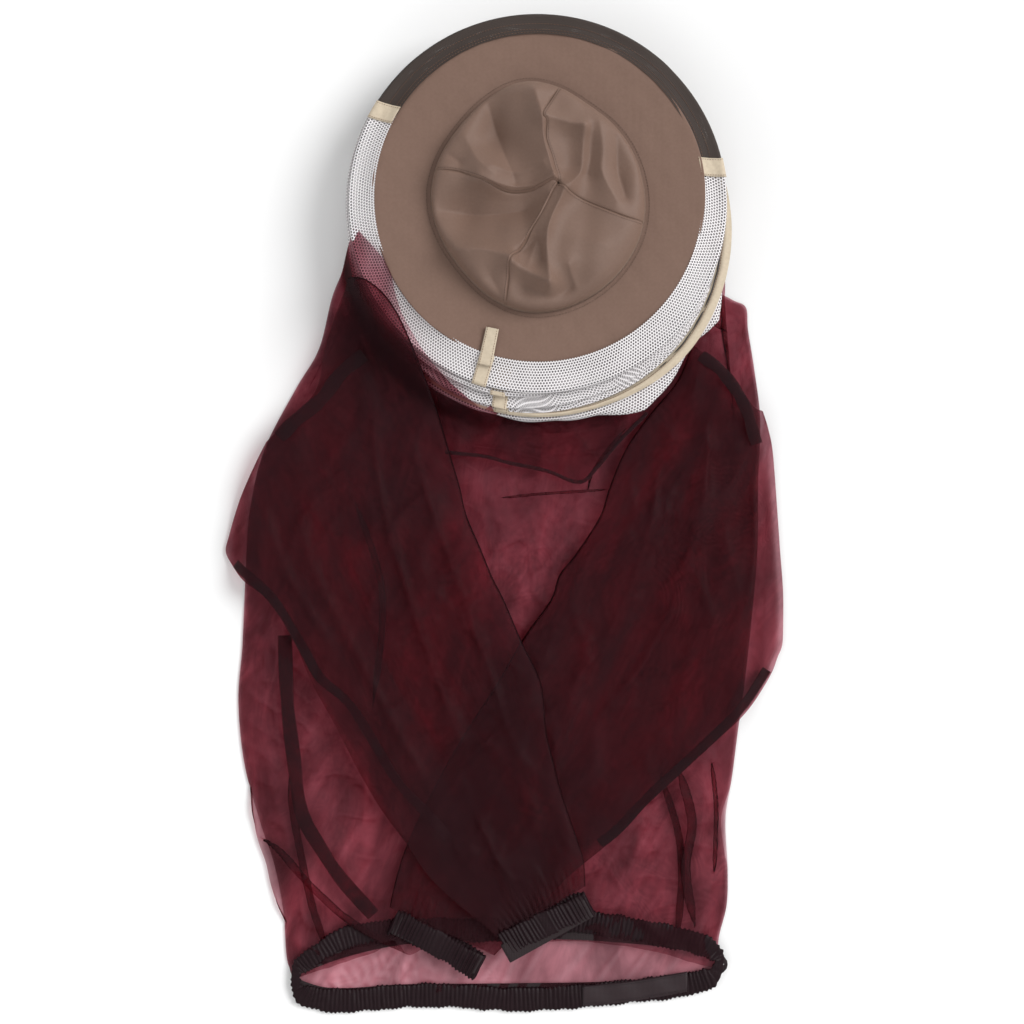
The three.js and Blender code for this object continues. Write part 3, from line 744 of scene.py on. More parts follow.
def stitchTree():
    # Puts a short bar of thread at even steps along each line of the mesh it is given.
    tree = bpy.data.node_groups.new("stitches", "GeometryNodeTree")
    tree.interface.new_socket("Geometry", in_out="INPUT", socket_type="NodeSocketGeometry")
    for label, value in (("Spacing", 0.003), ("Length", 0.002), ("Thickness", 0.0005)):
        tree.interface.new_socket(label, in_out="INPUT",
                                  socket_type="NodeSocketFloat").default_value = value
    tree.interface.new_socket("Thread", in_out="INPUT", socket_type="NodeSocketMaterial")
    tree.interface.new_socket("Geometry", in_out="OUTPUT", socket_type="NodeSocketGeometry")
    g = Graph(tree)
    given = g.node("NodeGroupInput").outputs
    curve = g.node("GeometryNodeMeshToCurve")
    g.link(given["Geometry"], curve.inputs["Mesh"])
    dots = g.node("GeometryNodeCurveToPoints", mode="LENGTH")
    g.link(curve.outputs["Curve"], dots.inputs["Curve"])
    g.link(given["Spacing"], dots.inputs["Length"])
    bar = g.node("GeometryNodeMeshUVSphere")
    bar.inputs["Segments"].default_value = 6
    bar.inputs["Rings"].default_value = 4
    bar.inputs["Radius"].default_value = 0.5
    size = g.node("ShaderNodeCombineXYZ")
    g.link(given["Thickness"], size.inputs["X"])
    g.link(given["Thickness"], size.inputs["Y"])
    g.link(given["Length"], size.inputs["Z"])
    rows = g.node("GeometryNodeInstanceOnPoints")
    g.link(dots.outputs["Points"], rows.inputs["Points"])
    g.link(bar.outputs["Mesh"], rows.inputs["Instance"])
    g.link(dots.outputs["Rotation"], rows.inputs["Rotation"])
    g.link(size.outputs[0], rows.inputs["Scale"])
    real = g.node("GeometryNodeRealizeInstances")
    g.link(rows.outputs[0], real.inputs[0])
    paint = g.node("GeometryNodeSetMaterial")
    g.link(real.outputs[0], paint.inputs["Geometry"])
    g.link(given["Thread"], paint.inputs["Material"])
    g.link(paint.outputs[0], g.node("NodeGroupOutput").inputs["Geometry"])
    return tree


def gatherTree():
    # Ribs across a gathered band. The mesh brings two measures: along, in metres, and swell, from 0 to 1.
    tree = bpy.data.node_groups.new("gathers", "GeometryNodeTree")
    tree.interface.new_socket("Geometry", in_out="INPUT", socket_type="NodeSocketGeometry")
    for label, value in (("Pitch", 0.004), ("Depth", 0.001), ("Jitter", 3.0)):
        tree.interface.new_socket(label, in_out="INPUT",
                                  socket_type="NodeSocketFloat").default_value = value
    tree.interface.new_socket("Cloth", in_out="INPUT", socket_type="NodeSocketMaterial")
    tree.interface.new_socket("Geometry", in_out="OUTPUT", socket_type="NodeSocketGeometry")
    g = Graph(tree)
    given = g.node("NodeGroupInput").outputs
    measure = {}
    for label in ("along", "swell", "lean"):
        read = g.node("GeometryNodeInputNamedAttribute", data_type="FLOAT")
        read.inputs["Name"].default_value = label
        measure[label] = read.outputs["Attribute"]
    place = g.node("ShaderNodeCombineXYZ")
    g.link(measure["along"], place.inputs["X"])
    g.link(g.math("MULTIPLY", measure["lean"], 0.004), place.inputs["Y"])
    drift = g.math("MULTIPLY", g.noise(place.outputs[0], 90, 2), given["Jitter"])
    turns = g.math("DIVIDE", g.math("MULTIPLY", measure["along"], 2 * math.pi), given["Pitch"])
    leaned = g.math("ADD", turns, g.math("MULTIPLY", measure["lean"], 0.5))
    rib = g.math("SINE", g.math("ADD", leaned, g.math("MULTIPLY", drift, 2.0)))
    coarse = g.math("SUBTRACT", g.noise(place.outputs[0], 160, 2), 0.5)
    both = g.math("ADD", rib, g.math("MULTIPLY", coarse, 2.4))
    rise = g.math("MULTIPLY", g.math("MULTIPLY", both, measure["swell"]), given["Depth"])
    normal = g.node("GeometryNodeInputNormal")
    offset = g.node("ShaderNodeVectorMath", operation="SCALE")
    g.link(normal.outputs[0], offset.inputs[0])
    g.link(rise, offset.inputs["Scale"])
    move = g.node("GeometryNodeSetPosition")
    g.link(given["Geometry"], move.inputs["Geometry"])
    g.link(offset.outputs[0], move.inputs["Offset"])
    real = g.node("GeometryNodeRealizeInstances")
    g.link(move.outputs[0], real.inputs[0])
    paint = g.node("GeometryNodeSetMaterial")
    g.link(real.outputs[0], paint.inputs["Geometry"])
    g.link(given["Cloth"], paint.inputs["Material"])
    g.link(paint.outputs[0], g.node("NodeGroupOutput").inputs["Geometry"])
    return tree


stitches = stitchTree()
gathers = gatherTree()


def grow(piece, tree, **values):
    # Runs a geometry tree on a piece and keeps the result as its plain mesh.
    step = piece.modifiers.new(tree.name, "NODES")
    step.node_group = tree
    for item in tree.interface.items_tree:
        if item.in_out == "INPUT" and item.name in values:
            step[item.identifier] = values[item.name]
    bpy.context.view_layer.update()
    graph = bpy.context.evaluated_depsgraph_get()
    result = bpy.data.meshes.new_from_object(piece.evaluated_get(graph), depsgraph=graph)
    piece.modifiers.remove(step)
    piece.data = result
    return piece


def stitchRow(name, lines, thread, spacing=3.0 * mm, length=2.1 * mm, thickness=0.55 * mm):
    # One piece of thread bars along a few lines of points.
    points = []
    edges = []
    for line in lines:
        edges += [(len(points) + i, len(points) + i + 1) for i in range(len(line) - 1)]
        points += [tuple(p) for p in line]
    mesh = bpy.data.meshes.new(name)
    mesh.from_pydata(points, edges, [])
    piece = bpy.data.objects.new(name, mesh)
    bpy.context.scene.collection.objects.link(piece)
    grow(piece, stitches, Spacing=spacing, Length=length, Thickness=thickness, Thread=thread)
    piece.data.polygons.foreach_set("use_smooth", [True] * len(piece.data.polygons))
    return piece


# The veil's arcs, in degrees round the hat: the black window in front, and white mesh to each side.
veil = {
    "window": (11, 150),
    "left": (150, 252),
    "right": (252, 371),
    "columnStep": 1.0,
    "tierHeight": 130 * mm,
    # How far the lower tier spreads past the lower hoop: (degrees, extra).
    "spread": [(150, 3), (180, 7), (200, 9), (225, 2), (250, 4), (275, 4), (288, 9), (301, 21),
               (312, 14), (325, 5),
               (334, 15), (343, 6), (371, 3), (400, 2), (510, 3)],
}
# The upper tier's folds from the upper hoop (mix 0) to the lower hoop (mix 1): mix, radial offset,
# height share.
upperFolds = [(0.0, 1.2, 0.0), (0.10, 3.5, 0.10), (0.2, -4.0, 0.20), (0.25, -20, 0.28),
              (0.3, -32, 0.36), (0.4, -16, 0.44),
              (0.62, 2.5, 0.52), (0.68, 3.0, 0.60), (0.7, -14, 0.68), (0.75, -26, 0.78),
              (0.9, -8, 0.88), (1.0, 0.0, 1.0)]
# The lower tier's folds: share of the spread, radial offset from the lower hoop, height share.
lowerFolds = [(0, 0.5, 0.0), (0.6, 3, 0.10), (1.0, 2.0, 0.30), (0.9, 0.0, 0.42), (0.3, -16, 0.50),
              (0, -50, 0.58),
              (0, -52, 0.66), (0, -22, 0.74), (0, -6, 0.82), (0, -8, 0.90), (0, -17, 1.0)]


def arcPiece(name, span, rows, place, material, step=None):
    # A strip round the hat. place(angles, share) gives x, y and z for one row.
    columns = int((span[1] - span[0]) / (step or veil["columnStep"])) + 1
    angles = np.radians(np.linspace(span[0], span[1], columns))
    grid = np.stack([np.stack(place(angles, t), -1) for t in np.linspace(0, 1, rows)])
    down = np.concatenate([np.zeros((1, columns)), np.cumsum(np.linalg.norm(np.diff(grid, axis=0),
        axis=-1), axis=0)])
    along = angles[None] * hoopRadius + 0 * down
    uv = np.stack([along, down], -1).reshape(-1, 2)
    return newPiece(name, grid.reshape(-1, 3), gridFaces(rows, columns)[:, ::-1], material, uv)


def between(a, b, t):
    return a + (b - a) * t


def rimPlace(angles, t):
    # From the brim's edge out to the upper hoop, over its wire and under it.
    wireTop = highZ("upper_hoop_wire")
    flatShare = 0.72
    if t < flatShare:
        s = t / flatShare
        inner = polar(hatMiddle, brimRadius - 1.0 * mm, angles)
        outer = polar(hoopMiddle, hoopRadius - 1.5 * mm, angles)
        sag = 1.6 * mm * math.sin(math.pi * s) * (1 + 0.5 * np.sin(5 * angles + 1) + 0.4
                                                  * np.sin(13 * angles))
        z = between(brimTop + 1.0 * mm, wireTop + 0.9 * mm, s) - sag
        return between(inner[0], outer[0], s), between(inner[1], outer[1], s), z
    turn = (t - flatShare) / (1 - flatShare) * math.radians(200)
    ring = 2.3 * mm
    x, y = polar(hoopMiddle, hoopRadius - 1.5 * mm + ring * math.sin(turn), angles)
    return x, y, wireTop - 1.4 * mm + ring * math.cos(turn) + 0 * angles


def foldAt(folds, t):
    table = np.array(folds, float)
    at = np.linspace(0, 1, len(table))
    return [float(np.interp(t, at, table[:, k])) for k in range(3)]


def upperPlace(angles, t):
    mix, out, drop = foldAt(upperFolds, t)
    middle = between(hoopMiddle, lowHoopMiddle, mix)
    radius = between(hoopRadius + 0.5 * mm, lowHoopRadius - 2.5 * mm, mix)
    loose = math.sin(math.pi * min(1, max(0, t)))
    right = smoothStep((np.cos(angles + 0.5) - 0.2) / 0.6)  # held in behind the hoop's casing on the right
    out = np.minimum(out, between(out, -3.5, right))
    wave = 1 + 0.35 * np.sin(3 * angles + 1.3) + 0.25 * np.sin(7 * angles + 4 * t) + 0.12 * np.sin(17
        * angles - 3 * t)
    x, y = polar(middle, radius + out * mm * (1 + loose * (wave - 1)), angles)
    z = between(lowZ("upper_hoop_wire") - 0.8 * mm, highZ("lower_hoop_casing") + 0.3 * mm, drop)
    return x, y, z + 0.7 * mm * loose * np.sin(9 * angles + 5 * t)


def lowerPlace(angles, t):
    spread, out, drop = foldAt(lowerFolds, t)
    table = np.array(veil["spread"], float)
    degrees = np.degrees(angles)
    degrees = np.where(degrees < 150, degrees + 360, degrees)
    extra = np.interp(degrees, table[:, 0], table[:, 1])
    edge = spread * (extra + 1.0 * np.sin(11 * angles) + 0.6 * np.sin(23 * angles + 2))
    x, y = polar(lowHoopMiddle, lowHoopRadius - 2.5 * mm + (edge + out) * mm, angles)
    z = between(lowZ("lower_hoop_casing") - 0.3 * mm, highZ("neck_seam_tape") + 0.4 * mm, drop)
    return x, y, z + 0.8 * mm * math.sin(math.pi * t) * np.sin(8 * angles + 4 * t)


def makeVeil(looks):
    arcs = [("window", "window", "window"), ("left", "side_left", "side"), ("right", "side_right", "side")]
    for side, node, look_ in arcs:
        a, b = veil[side]
        label = "veil" + side.title()
        rim = arcPiece(label + "Rim", (a, b), 26, rimPlace, looks[look_])
        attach(rim, "hat")
        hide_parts("veil_" + node + "_rim")
        upper = arcPiece(label + "Upper", (a, b), 56, upperPlace, looks[look_])
        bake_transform(upper)
        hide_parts("veil_" + node + "_upper")
        lower = arcPiece(label + "Lower", (a, b), 44, lowerPlace, looks[look_])
        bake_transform(lower)
        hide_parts("veil_" + node + "_lower")


hoopTape = {"narrow": 3.0 * mm, "wide": 6.3 * mm, "wideFrom": -75, "wideTo": 60, "thick": 1.7 * mm}


def hoopHalfWide(angles):
    # The casing lies flat and broad on the right, and stands on edge elsewhere.
    degrees = (np.degrees(angles) + 180) % 360 - 180
    inside = smoothStep((degrees - hoopTape["wideFrom"]) / 40) * smoothStep((hoopTape["wideTo"]
        - degrees) / 40)
    return between(hoopTape["narrow"], hoopTape["wide"], inside)


def makeHoopTape(looks):
    count = 300
    angles = np.linspace(0, 2 * math.pi, count, endpoint=False)
    half = hoopHalfWide(angles)
    middleZ = 0.5 * (lowZ("lower_hoop_casing") + highZ("lower_hoop_casing"))
    wire = lowHoopRadius - 3.0 * mm
    rows = []
    for turn in np.linspace(0, 2 * math.pi, 18, endpoint=False):
        across = half * np.cos(turn)
        bulge = 2.6 * mm * np.exp(-((across / (2.6 * mm)) ** 2)) + hoopTape["thick"] / 2
        up = np.sin(turn) * bulge + 0.25 * mm * np.sin(40 * angles + 3 * turn)
        x, y = polar(lowHoopMiddle, wire + across + (half - hoopTape["narrow"]) * 0.9, angles)
        rows.append(np.stack([x, y, middleZ + up], -1))
    rows.append(rows[0])
    tape = newPiece("lowerHoopTape", np.concatenate(rows), gridFaces(19, count, True), looks["tape"])
    bm = bmesh.new()
    bm.from_mesh(tape.data)
    bmesh.ops.remove_doubles(bm, verts=bm.verts, dist=1e-6)
    bmesh.ops.recalc_face_normals(bm, faces=bm.faces)
    bm.to_mesh(tape.data)
    bm.free()
    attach(tape, "hoop")
    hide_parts("lower_hoop_casing")
    across = -0.35 * half
    x, y = polar(lowHoopMiddle, wire + across + (half - hoopTape["narrow"]) * 0.9, angles)
    top = middleZ + 2.6 * mm * np.exp(-((across / (2.6 * mm)) ** 2)) + hoopTape["thick"] / 2 + 0.25 * mm
    line = np.stack([x, y, top], -1)
    rowsOf = stitchRow("lowerHoopStitches", [np.concatenate([line, line[:1]])], looks["thread"],
                       2.6 * mm, 2.3 * mm, 0.6 * mm)
    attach(rowsOf, "hoop")


def tapeStrip(name, line, across, looks, thick=0.9 * mm, rowsIn=1.6 * mm, wavy=0.15 * mm):
    # A twill tape laid along a line of points. across(i) gives its width vector at each point.
    line = np.asarray(line, float)
    count = len(line)
    columns = 9
    top = []
    for i, p in enumerate(line):
        w = np.asarray(across(i), float)
        for s in np.linspace(-0.5, 0.5, columns):
            bump = wavy * math.sin(0.9 * i + 5 * s) - 0.25 * mm * (2 * s) ** 4
            top.append(p + w * s + np.array([0, 0, bump]))
    piece = newPiece(name, top, gridFaces(count, columns), looks["tape"])
    thickStep = piece.modifiers.new("tape", "SOLIDIFY")
    thickStep.thickness = thick
    thickStep.offset = 0
    rows = []
    grid = np.array(top).reshape(count, columns, 3)
    for side in (-1, 1):
        w = np.array([np.asarray(across(i), float) for i in range(count)])
        share = 0.5 - rowsIn / np.linalg.norm(w[0])
        rows.append(line + w * side * share + np.array([0, 0, thick / 2 + 0.1 * mm]))
    thread = stitchRow(name + "Stitches", rows, looks["thread"], 2.3 * mm, 1.7 * mm, 0.5 * mm)
    return piece, thread, grid


def makeHatTapes(looks):
    # The front tapes cover the joins between window and side mesh.
    for name, node, degrees, wide in (("frontTapeLeft", "front_tape_left", 150, 18),
                                      ("frontTapeRight", "front_tape_right", 11, 18),
                                      ("backTapeRim", "back_tape_rim", 252, 14)):
        angle = math.radians(degrees)
        out = np.array([math.cos(angle), math.sin(angle), 0])
        side = np.array([-out[1], out[0], 0]) * wide * mm
        line = []
        for t in np.linspace(0.02, 0.98, 26):
            x, y, z = rimPlace(np.array([angle]), t)
            line.append((x[0], y[0], z[0] + 1.3 * mm))
        line = np.array(line)
        shift = np.array([hoopMiddle[0], hoopMiddle[1], 0])
        late = smoothStep((np.linspace(0, 1, len(line)) - 0.7) / 0.3)[:, None]
        outward = (line - shift) * np.array([1, 1, 0])
        outward /= np.linalg.norm(outward, axis=1)[:, None]
        line += late * outward * 1.2 * mm - late * np.array([0, 0, 0.9 * mm])
        piece, thread, _ = tapeStrip(name, line, lambda i: side, looks)
        for made in (piece, thread):
            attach(made, "hat")
        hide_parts(node)
    # The tail is the loose end of the back tape, lying on the brim.
    low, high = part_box("back_tape_tail")
    foot = np.array([low.x + 6 * mm, low.y, brimTop + 2.6 * mm])
    lean = np.array([0.208, 0.978, 0])
    sideways = np.array([0.978, -0.208, 0])
    t = np.linspace(0, 1, 22)[:, None]
    line = foot + lean * t * 36 * mm + np.array([0, 0, 1]) * mm * (0.5 * np.sin(3.1 * t) + 1.2 * t ** 3)
    piece, thread, _ = tapeStrip("backTapeTail", line, lambda i: sideways * (13.5 - 1.5 * i / 22) * mm,
                                 looks)
    for made in (piece, thread):
        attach(made, "tape_tail")
    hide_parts("back_tape_tail")
    # The back tape goes on down the collapsed tier to the lower hoop.
    angle = math.radians(258)
    side = np.array([-math.sin(angle), math.cos(angle), 0]) * 14 * mm
    line = []
    for t in np.linspace(0, 1, 60):
        x, y, z = upperPlace(np.array([angle]), t)
        push = np.array([math.cos(angle), math.sin(angle)]) * 1.2 * mm
        line.append((x[0] + push[0], y[0] + push[1], z[0] + 0.8 * mm))
    piece, thread, _ = tapeStrip("backTapeLower", line, lambda i: side, looks, thick=0.6 * mm)
    for made in (piece, thread):
        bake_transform(made)
    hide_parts("back_tape_lower")


def makeSweatband(looks):
    # A soft band turned up inside the head opening.
    angles = np.linspace(0, 2 * math.pi, 180, endpoint=False)
    puff = crownPuff(angles)
    low = lowZ("sweatband")
    rows = []
    for rise, inset in ((0, 5.0), (4, 5.6), (8, 5.2), (11, 6.0), (11.4, 7.2), (8, 7.4), (4, 7.2), (0, 6.6)):
        radius = headRadius - inset * mm
        x, y = radius * np.cos(angles) * puff, radius * np.sin(angles) * puff * crown["long"]
        rows.append(np.stack([hatMiddle[0] + x, hatMiddle[1] + y, low + rise * mm + 0 * x], -1))
    band = newPiece("sweatbandCloth", np.concatenate(rows), gridFaces(len(rows), 180, True)[:, ::-1],
                    looks["sweatband"])
    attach(band, "hat")
    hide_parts("sweatband")


def makeHatStitches(looks):
    # Thread along the crown's seams, round the head seam and along the window's edge on the brim.
    rows = []
    for seam in crown["seams"].values():
        path = spline([*seam, crown["peak"]], 120)
        side = np.stack([-np.gradient(path[:, 1]), np.gradient(path[:, 0])], -1)
        side /= np.linalg.norm(side, axis=1)[:, None]
        path = path + side * 0.022
        keep = np.hypot(path[:, 0], path[:, 1]) < 0.97
        rows.append(onCrown(path[keep, 0], path[keep, 1], 0.25 * mm))
    crownRows = stitchRow("crownStitches", rows, looks["crownThread"], 2.6 * mm, 2.0 * mm, 0.42 * mm)
    angles = np.linspace(0, 2 * math.pi, 400)
    puff = crownPuff(angles)
    x, y = np.cos(angles) * 1.035 * puff, np.sin(angles) * crown["long"] * 1.032 * puff
    z = brimTop + 1.75 * mm + 0 * angles
    head = np.stack([hatMiddle[0] + x * headRadius, hatMiddle[1] + y * headRadius, z], -1)
    headRow = stitchRow("headSeamStitches", [head], looks["crownThread"], 2.8 * mm, 2.2 * mm, 0.45 * mm)
    rows = []
    for share in (0.10, 0.26, 0.60):
        arc = np.radians(np.linspace(veil["window"][0] + 4, veil["window"][1] - 4, 240))
        x, y, z = rimPlace(arc, share * 0.72)
        rows.append(np.stack([x, y, z + 0.35 * mm], -1))
    windowRows = stitchRow("windowStitches", rows, looks["thread"], 3.0 * mm, 1.9 * mm, 0.45 * mm)
    for made, slotName in ((crownRows, "crown_cloth"), (headRow, "crown_cloth"),
                           (windowRows, "window_mesh")):
        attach(made, "hat")


# How the cloth lies over the collapsed veil at the left shoulder, as steps over the two hoops.
flap = {"from": 160, "fade": 252, "to": 264, "reach": 22 * mm, "lowStep": 31 * mm, "highStep": 27 * mm,
        "slope": 21 * mm}


def overVeil(x, y):
    lowR = np.hypot(x - lowHoopMiddle[0], y - lowHoopMiddle[1])
    highR = np.hypot(x - hoopMiddle[0], y - hoopMiddle[1])
    degrees = np.degrees(np.arctan2(y - lowHoopMiddle[1], x - lowHoopMiddle[0])) % 360
    there = smoothStep((degrees - flap["from"] + 14) / 14) * smoothStep((flap["to"] - degrees)
        / (flap["to"] - flap["fade"]))
    reachLow, reachHigh = lowHoopRadius + flap["reach"], hoopRadius + flap["reach"]
    low = flap["lowStep"] * smoothStep((reachLow - lowR) / flap["slope"])
    high = flap["highStep"] * smoothStep((reachHigh - highR) / flap["slope"])
    return there * (low + high)


def scaled(points):
    return np.asarray(points, float) * mm


# The body panels. Edges run from the hem up. Folds: line, height, width. Pleats: line, width, strength.
body = {
    "left": [(-203, -456), (-213, -440), (-217, -392), (-226, -345), (-239, -306), (-255, -247),
             (-261, -185), (-257, -130),
             (-254, -60), (-250, 0), (-236, 60), (-205, 120), (-182, 160), (-168, 214), (-149, 254),
             (-143, 274)],
    "right": [(211, -452), (209, -420), (217, -385), (218, -350), (216, -300), (222, -262), (228, -215),
              (233, -180),
              (240, -120), (247, -40), (248, 30), (250, 90), (244, 140), (238, 178), (236, 200),
              (224, 207), (209, 215)],
    "neckOver": [(-136, 264), (-127, 254), (-115, 240), (-108, 227), (-104, 208), (-98, 189),
                 (-90, 174), (-80, 157), (-69, 142),
                 (-54, 125), (-38, 111), (-20, 97)],
    "gap": 10.5 * mm,
    "columns": 190,
    "rows": 300,
}
backPleats = [
    ([(-238, -310), (-220, -329), (-180, -372), (-142, -404), (-93, -427), (-50, -448)], 9, 2.3),
    ([(-250, -262), (-237, -330), (-212, -408)], 9, 2.0),
    ([(166, -240), (182, -300), (176, -350), (186, -410)], 12, 2.3),
    ([(200, -235), (206, -290), (204, -360)], 8, 2.0),
    ([(120, 84), (98, 58), (84, 36), (80, 20)], 6, 2.0),
    ([(-10, 13), (40, 18), (105, 22)], 5, 2.0),
]
backFolds = [
    ([(22, 10), (24, -30), (30, -75), (38, -92)], 4.0, 8),
    ([(30, 8), (46, -36), (44, -80)], 3.5, 6),
    ([(60, -5), (52, -50), (28, -90)], 3.0, 7),
    ([(-30, 40), (-8, 0), (6, -40)], 3.0, 9),
    ([(95, -330), (110, -360), (128, -383)], 3.0, 5),
    ([(-150, -200), (-120, -260), (-100, -330)], 3.5, 10),
    ([(10, -330), (60, -370), (150, -380)], 3.5, 10),
    ([(-200, -60), (-225, -160), (-215, -260)], 4.0, 12),
    ([(120, 90), (60, 76), (0, 80)], 4.0, 9),
    ([(150, 60), (110, 30), (96, 0)], 4.0, 10),
]
frontPleats = [
    ([(-212, -250), (-206, -300), (-190, -380), (-170, -440)], 10, 2.2),
    ([(150, -250), (172, -330), (168, -430)], 10, 2.2),
    ([(-150, 20), (-120, -80), (-130, -200)], 10, 2.1),
]
frontFolds = [
    ([(-100, -300), (0, -340), (80, -330)], 3.0, 9),
    ([(-60, -100), (0, -160), (40, -260)], 3.0, 10),
    ([(100, -200), (60, -300), (90, -420)], 3.0, 9),
]


def pleat(points, line, width, strength):
    # Lays the cloth over itself in a Z along a line, and fades out at the line's ends.
    path = spline(scaled(line), 60)
    gap, along = lineDistance(points[:, 0], points[:, 1], path)
    at = (along * (len(path) - 1)).astype(int).clip(0, len(path) - 2)
    run = path[at + 1] - path[at]
    run /= np.linalg.norm(run, axis=1)[:, None]
    side = np.stack([-run[:, 1], run[:, 0]], -1)
    signed = ((points[:, :2] - path[at]) * side).sum(1)
    fade = smoothStep(along / 0.2) * smoothStep((1 - along) / 0.2)
    w = width * mm * (0.15 + 0.85 * fade)
    near = np.exp(-((signed / w) ** 2)) * np.exp(-((gap - np.abs(signed)).clip(0)
                                                   / w) ** 2) * smoothStep(fade * 6)
    points[:, :2] -= side * (signed * near * strength)[:, None]
    points[:, 2] += 1.8 * mm * (signed / w) * near * fade + 1.2 * mm * near * fade


def ridges(x, y, folds):
    height = np.zeros_like(x)
    for line, rise, width in folds:
        gap, along = lineDistance(x, y, spline(scaled(line), 40))
        fade = smoothStep(along / 0.25) * smoothStep((1 - along) / 0.25)
        height += 1.5 * rise * mm * np.exp(-gap / (0.5 * width * mm)) * fade
    return height


def clothRelief(x, y, seed):
    # Crumples of a crisp sheer cloth: broad puffs, sharper creases, and small dents in patches.
    broad = 2.0 * mm * waves(x, y, seed, 0.13, warp=0.5)
    sharp = 2.6 * mm * creases(x, y, seed + 1, 0.075, count=4, warp=0.9)
    patches = smoothStep(0.5 + 0.9 * waves(x, y, seed + 2, 0.2))
    small = 1.5 * mm * creases(x, y, seed + 3, 0.026, count=5, warp=0.7) * patches
    return broad + sharp + small


def panel(name, edges, base, seed, pleats, folds, relief=1.0):
    grid = patch(*edges, body["rows"], body["columns"])
    flat = grid.reshape(-1, 2)
    rows, columns = grid.shape[:2]
    i, j = np.meshgrid(np.arange(rows), np.arange(columns), indexing="ij")
    rim = np.minimum(np.minimum(j, columns - 1 - j) / 10, 1).ravel()
    height = relief * (clothRelief(flat[:, 0], flat[:, 1], seed) + ridges(flat[:, 0], flat[:, 1], folds))
    points = np.column_stack([flat, base + rim * (height - height.min() * 0.35)])
    for line, width, strength in pleats:
        pleat(points, line, width, strength)
    return points, gridFaces(rows, columns), rim


def makeBody(looks):
    left, right = spline(scaled(body["left"]), 300), spline(scaled(body["right"]), 300)
    hemLow = spline(np.array([left[0], (-0.19, -0.468), (-0.1, -0.469), (0.0, -0.470), (0.11, -0.466),
                              (0.2, -0.458), right[0]]), 200)
    turn = np.radians(np.linspace(172, -20, 200))
    neckTop = np.stack(polar(centre("neck_seam_tape"), 0.161, turn), -1)
    neckTop = np.concatenate([[left[-1]], neckTop, [right[-1]]])
    points, faces, _ = panel("front", (hemLow, right, neckTop, left), 1.2 * mm, 3, frontPleats,
                             frontFolds, 0.7)
    points[:, 2] = points[:, 2].clip(0.4 * mm, 8.5 * mm)
    front = newPiece("bodyFront", points, faces[:, ::-1], looks["organza"])
    backHem = spline(np.array([left[0] + (0.006, 0.01), (-0.17, -0.435), (-0.1, -0.414), (0.0, -0.408),
                               (0.11, -0.41), (0.19, -0.43),
                               right[0] + (-0.004, 0.012)]), 200)
    turn = np.radians(np.linspace(258, 336, 90))
    under = np.stack(polar(centre("neck_seam_tape"), 0.160, turn), -1)
    neckLow = resample(np.concatenate([[left[-1]], scaled(body["neckOver"]), under,
                                       [(0.196, 0.184), right[-1]]]), 400)
    neckLow = smoothLine(neckLow, 6)
    points, faces, rim = panel("back", (backHem, right, neckLow, left), body["gap"], 20, backPleats,
                               backFolds)
    lift = overVeil(points[:, 0], points[:, 1])
    low = 2.0 * mm + (body["gap"] - 2.0 * mm) * rim
    points[:, 2] = (points[:, 2] - body["gap"]).clip(-2.5 * mm,
                                                     7 * mm) * (1 - 0.6 * lift / 0.052) + low + lift
    back = newPiece("bodyBack", points, faces, looks["organza"])
    for piece, node, seat in ((front, "torso_front", []), (back, "torso_back", ["bodyFront"])):
        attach(piece, "jacket")
        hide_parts(node)
    return front, back


# The sleeves: edges from the armhole to the cuff, height range, and seeds.
sleeveLeft = {
    "node": "sleeve_left", "cloth": "organzaLeft",
    "outer": [(-231, 68), (-241, 49), (-255, 20), (-262, 2), (-270, -24), (-273, -39), (-266, -52),
              (-254, -66), (-235, -80), (-222, -90),
              (-211, -108), (-200, -133), (-187, -165), (-165, -205), (-143, -248), (-119, -289),
              (-93, -324), (-76, -350), (-52, -374),
              (-25, -396), (-7, -412)],
    "inner": [(-150, 224), (-128, 218), (-106, 196), (-86, 155), (-66, 100), (-52, 53), (-44, 26),
              (-37, -3), (-24, -34), (-12, -63),
              (0, -87), (17, -127), (35, -166), (40, -211), (47, -242), (56, -276), (66, -305),
              (76, -336), (78, -362)],
    "armhole": [(-231, 68), (-205, 92), (-182, 120), (-174, 160), (-160, 200), (-150, 224)],
    "low": 22.0 * mm, "high": 28.0 * mm, "seed": 41, "over": 0.86,
    "start": (-0.175, 0.13), "end": (-0.13, -0.03),
    "folds": [([(-200, 60), (-190, -40), (-120, -180), (-60, -290)], 4.5, 9),
              ([(-130, 150), (-120, 20), (-80, -120), (-20, -280)], 4.5, 8),
              ([(-100, 100), (-70, 0), (-30, -110), (20, -260)], 3.5, 7),
              ([(-235, 20), (-215, -50), (-160, -140)], 4.0, 8),
              ([(30, -180), (-20, -225), (-60, -260)], 4.0, 8),
              ([(-50, -240), (-10, -330), (20, -370)], 3.0, 7)],
}
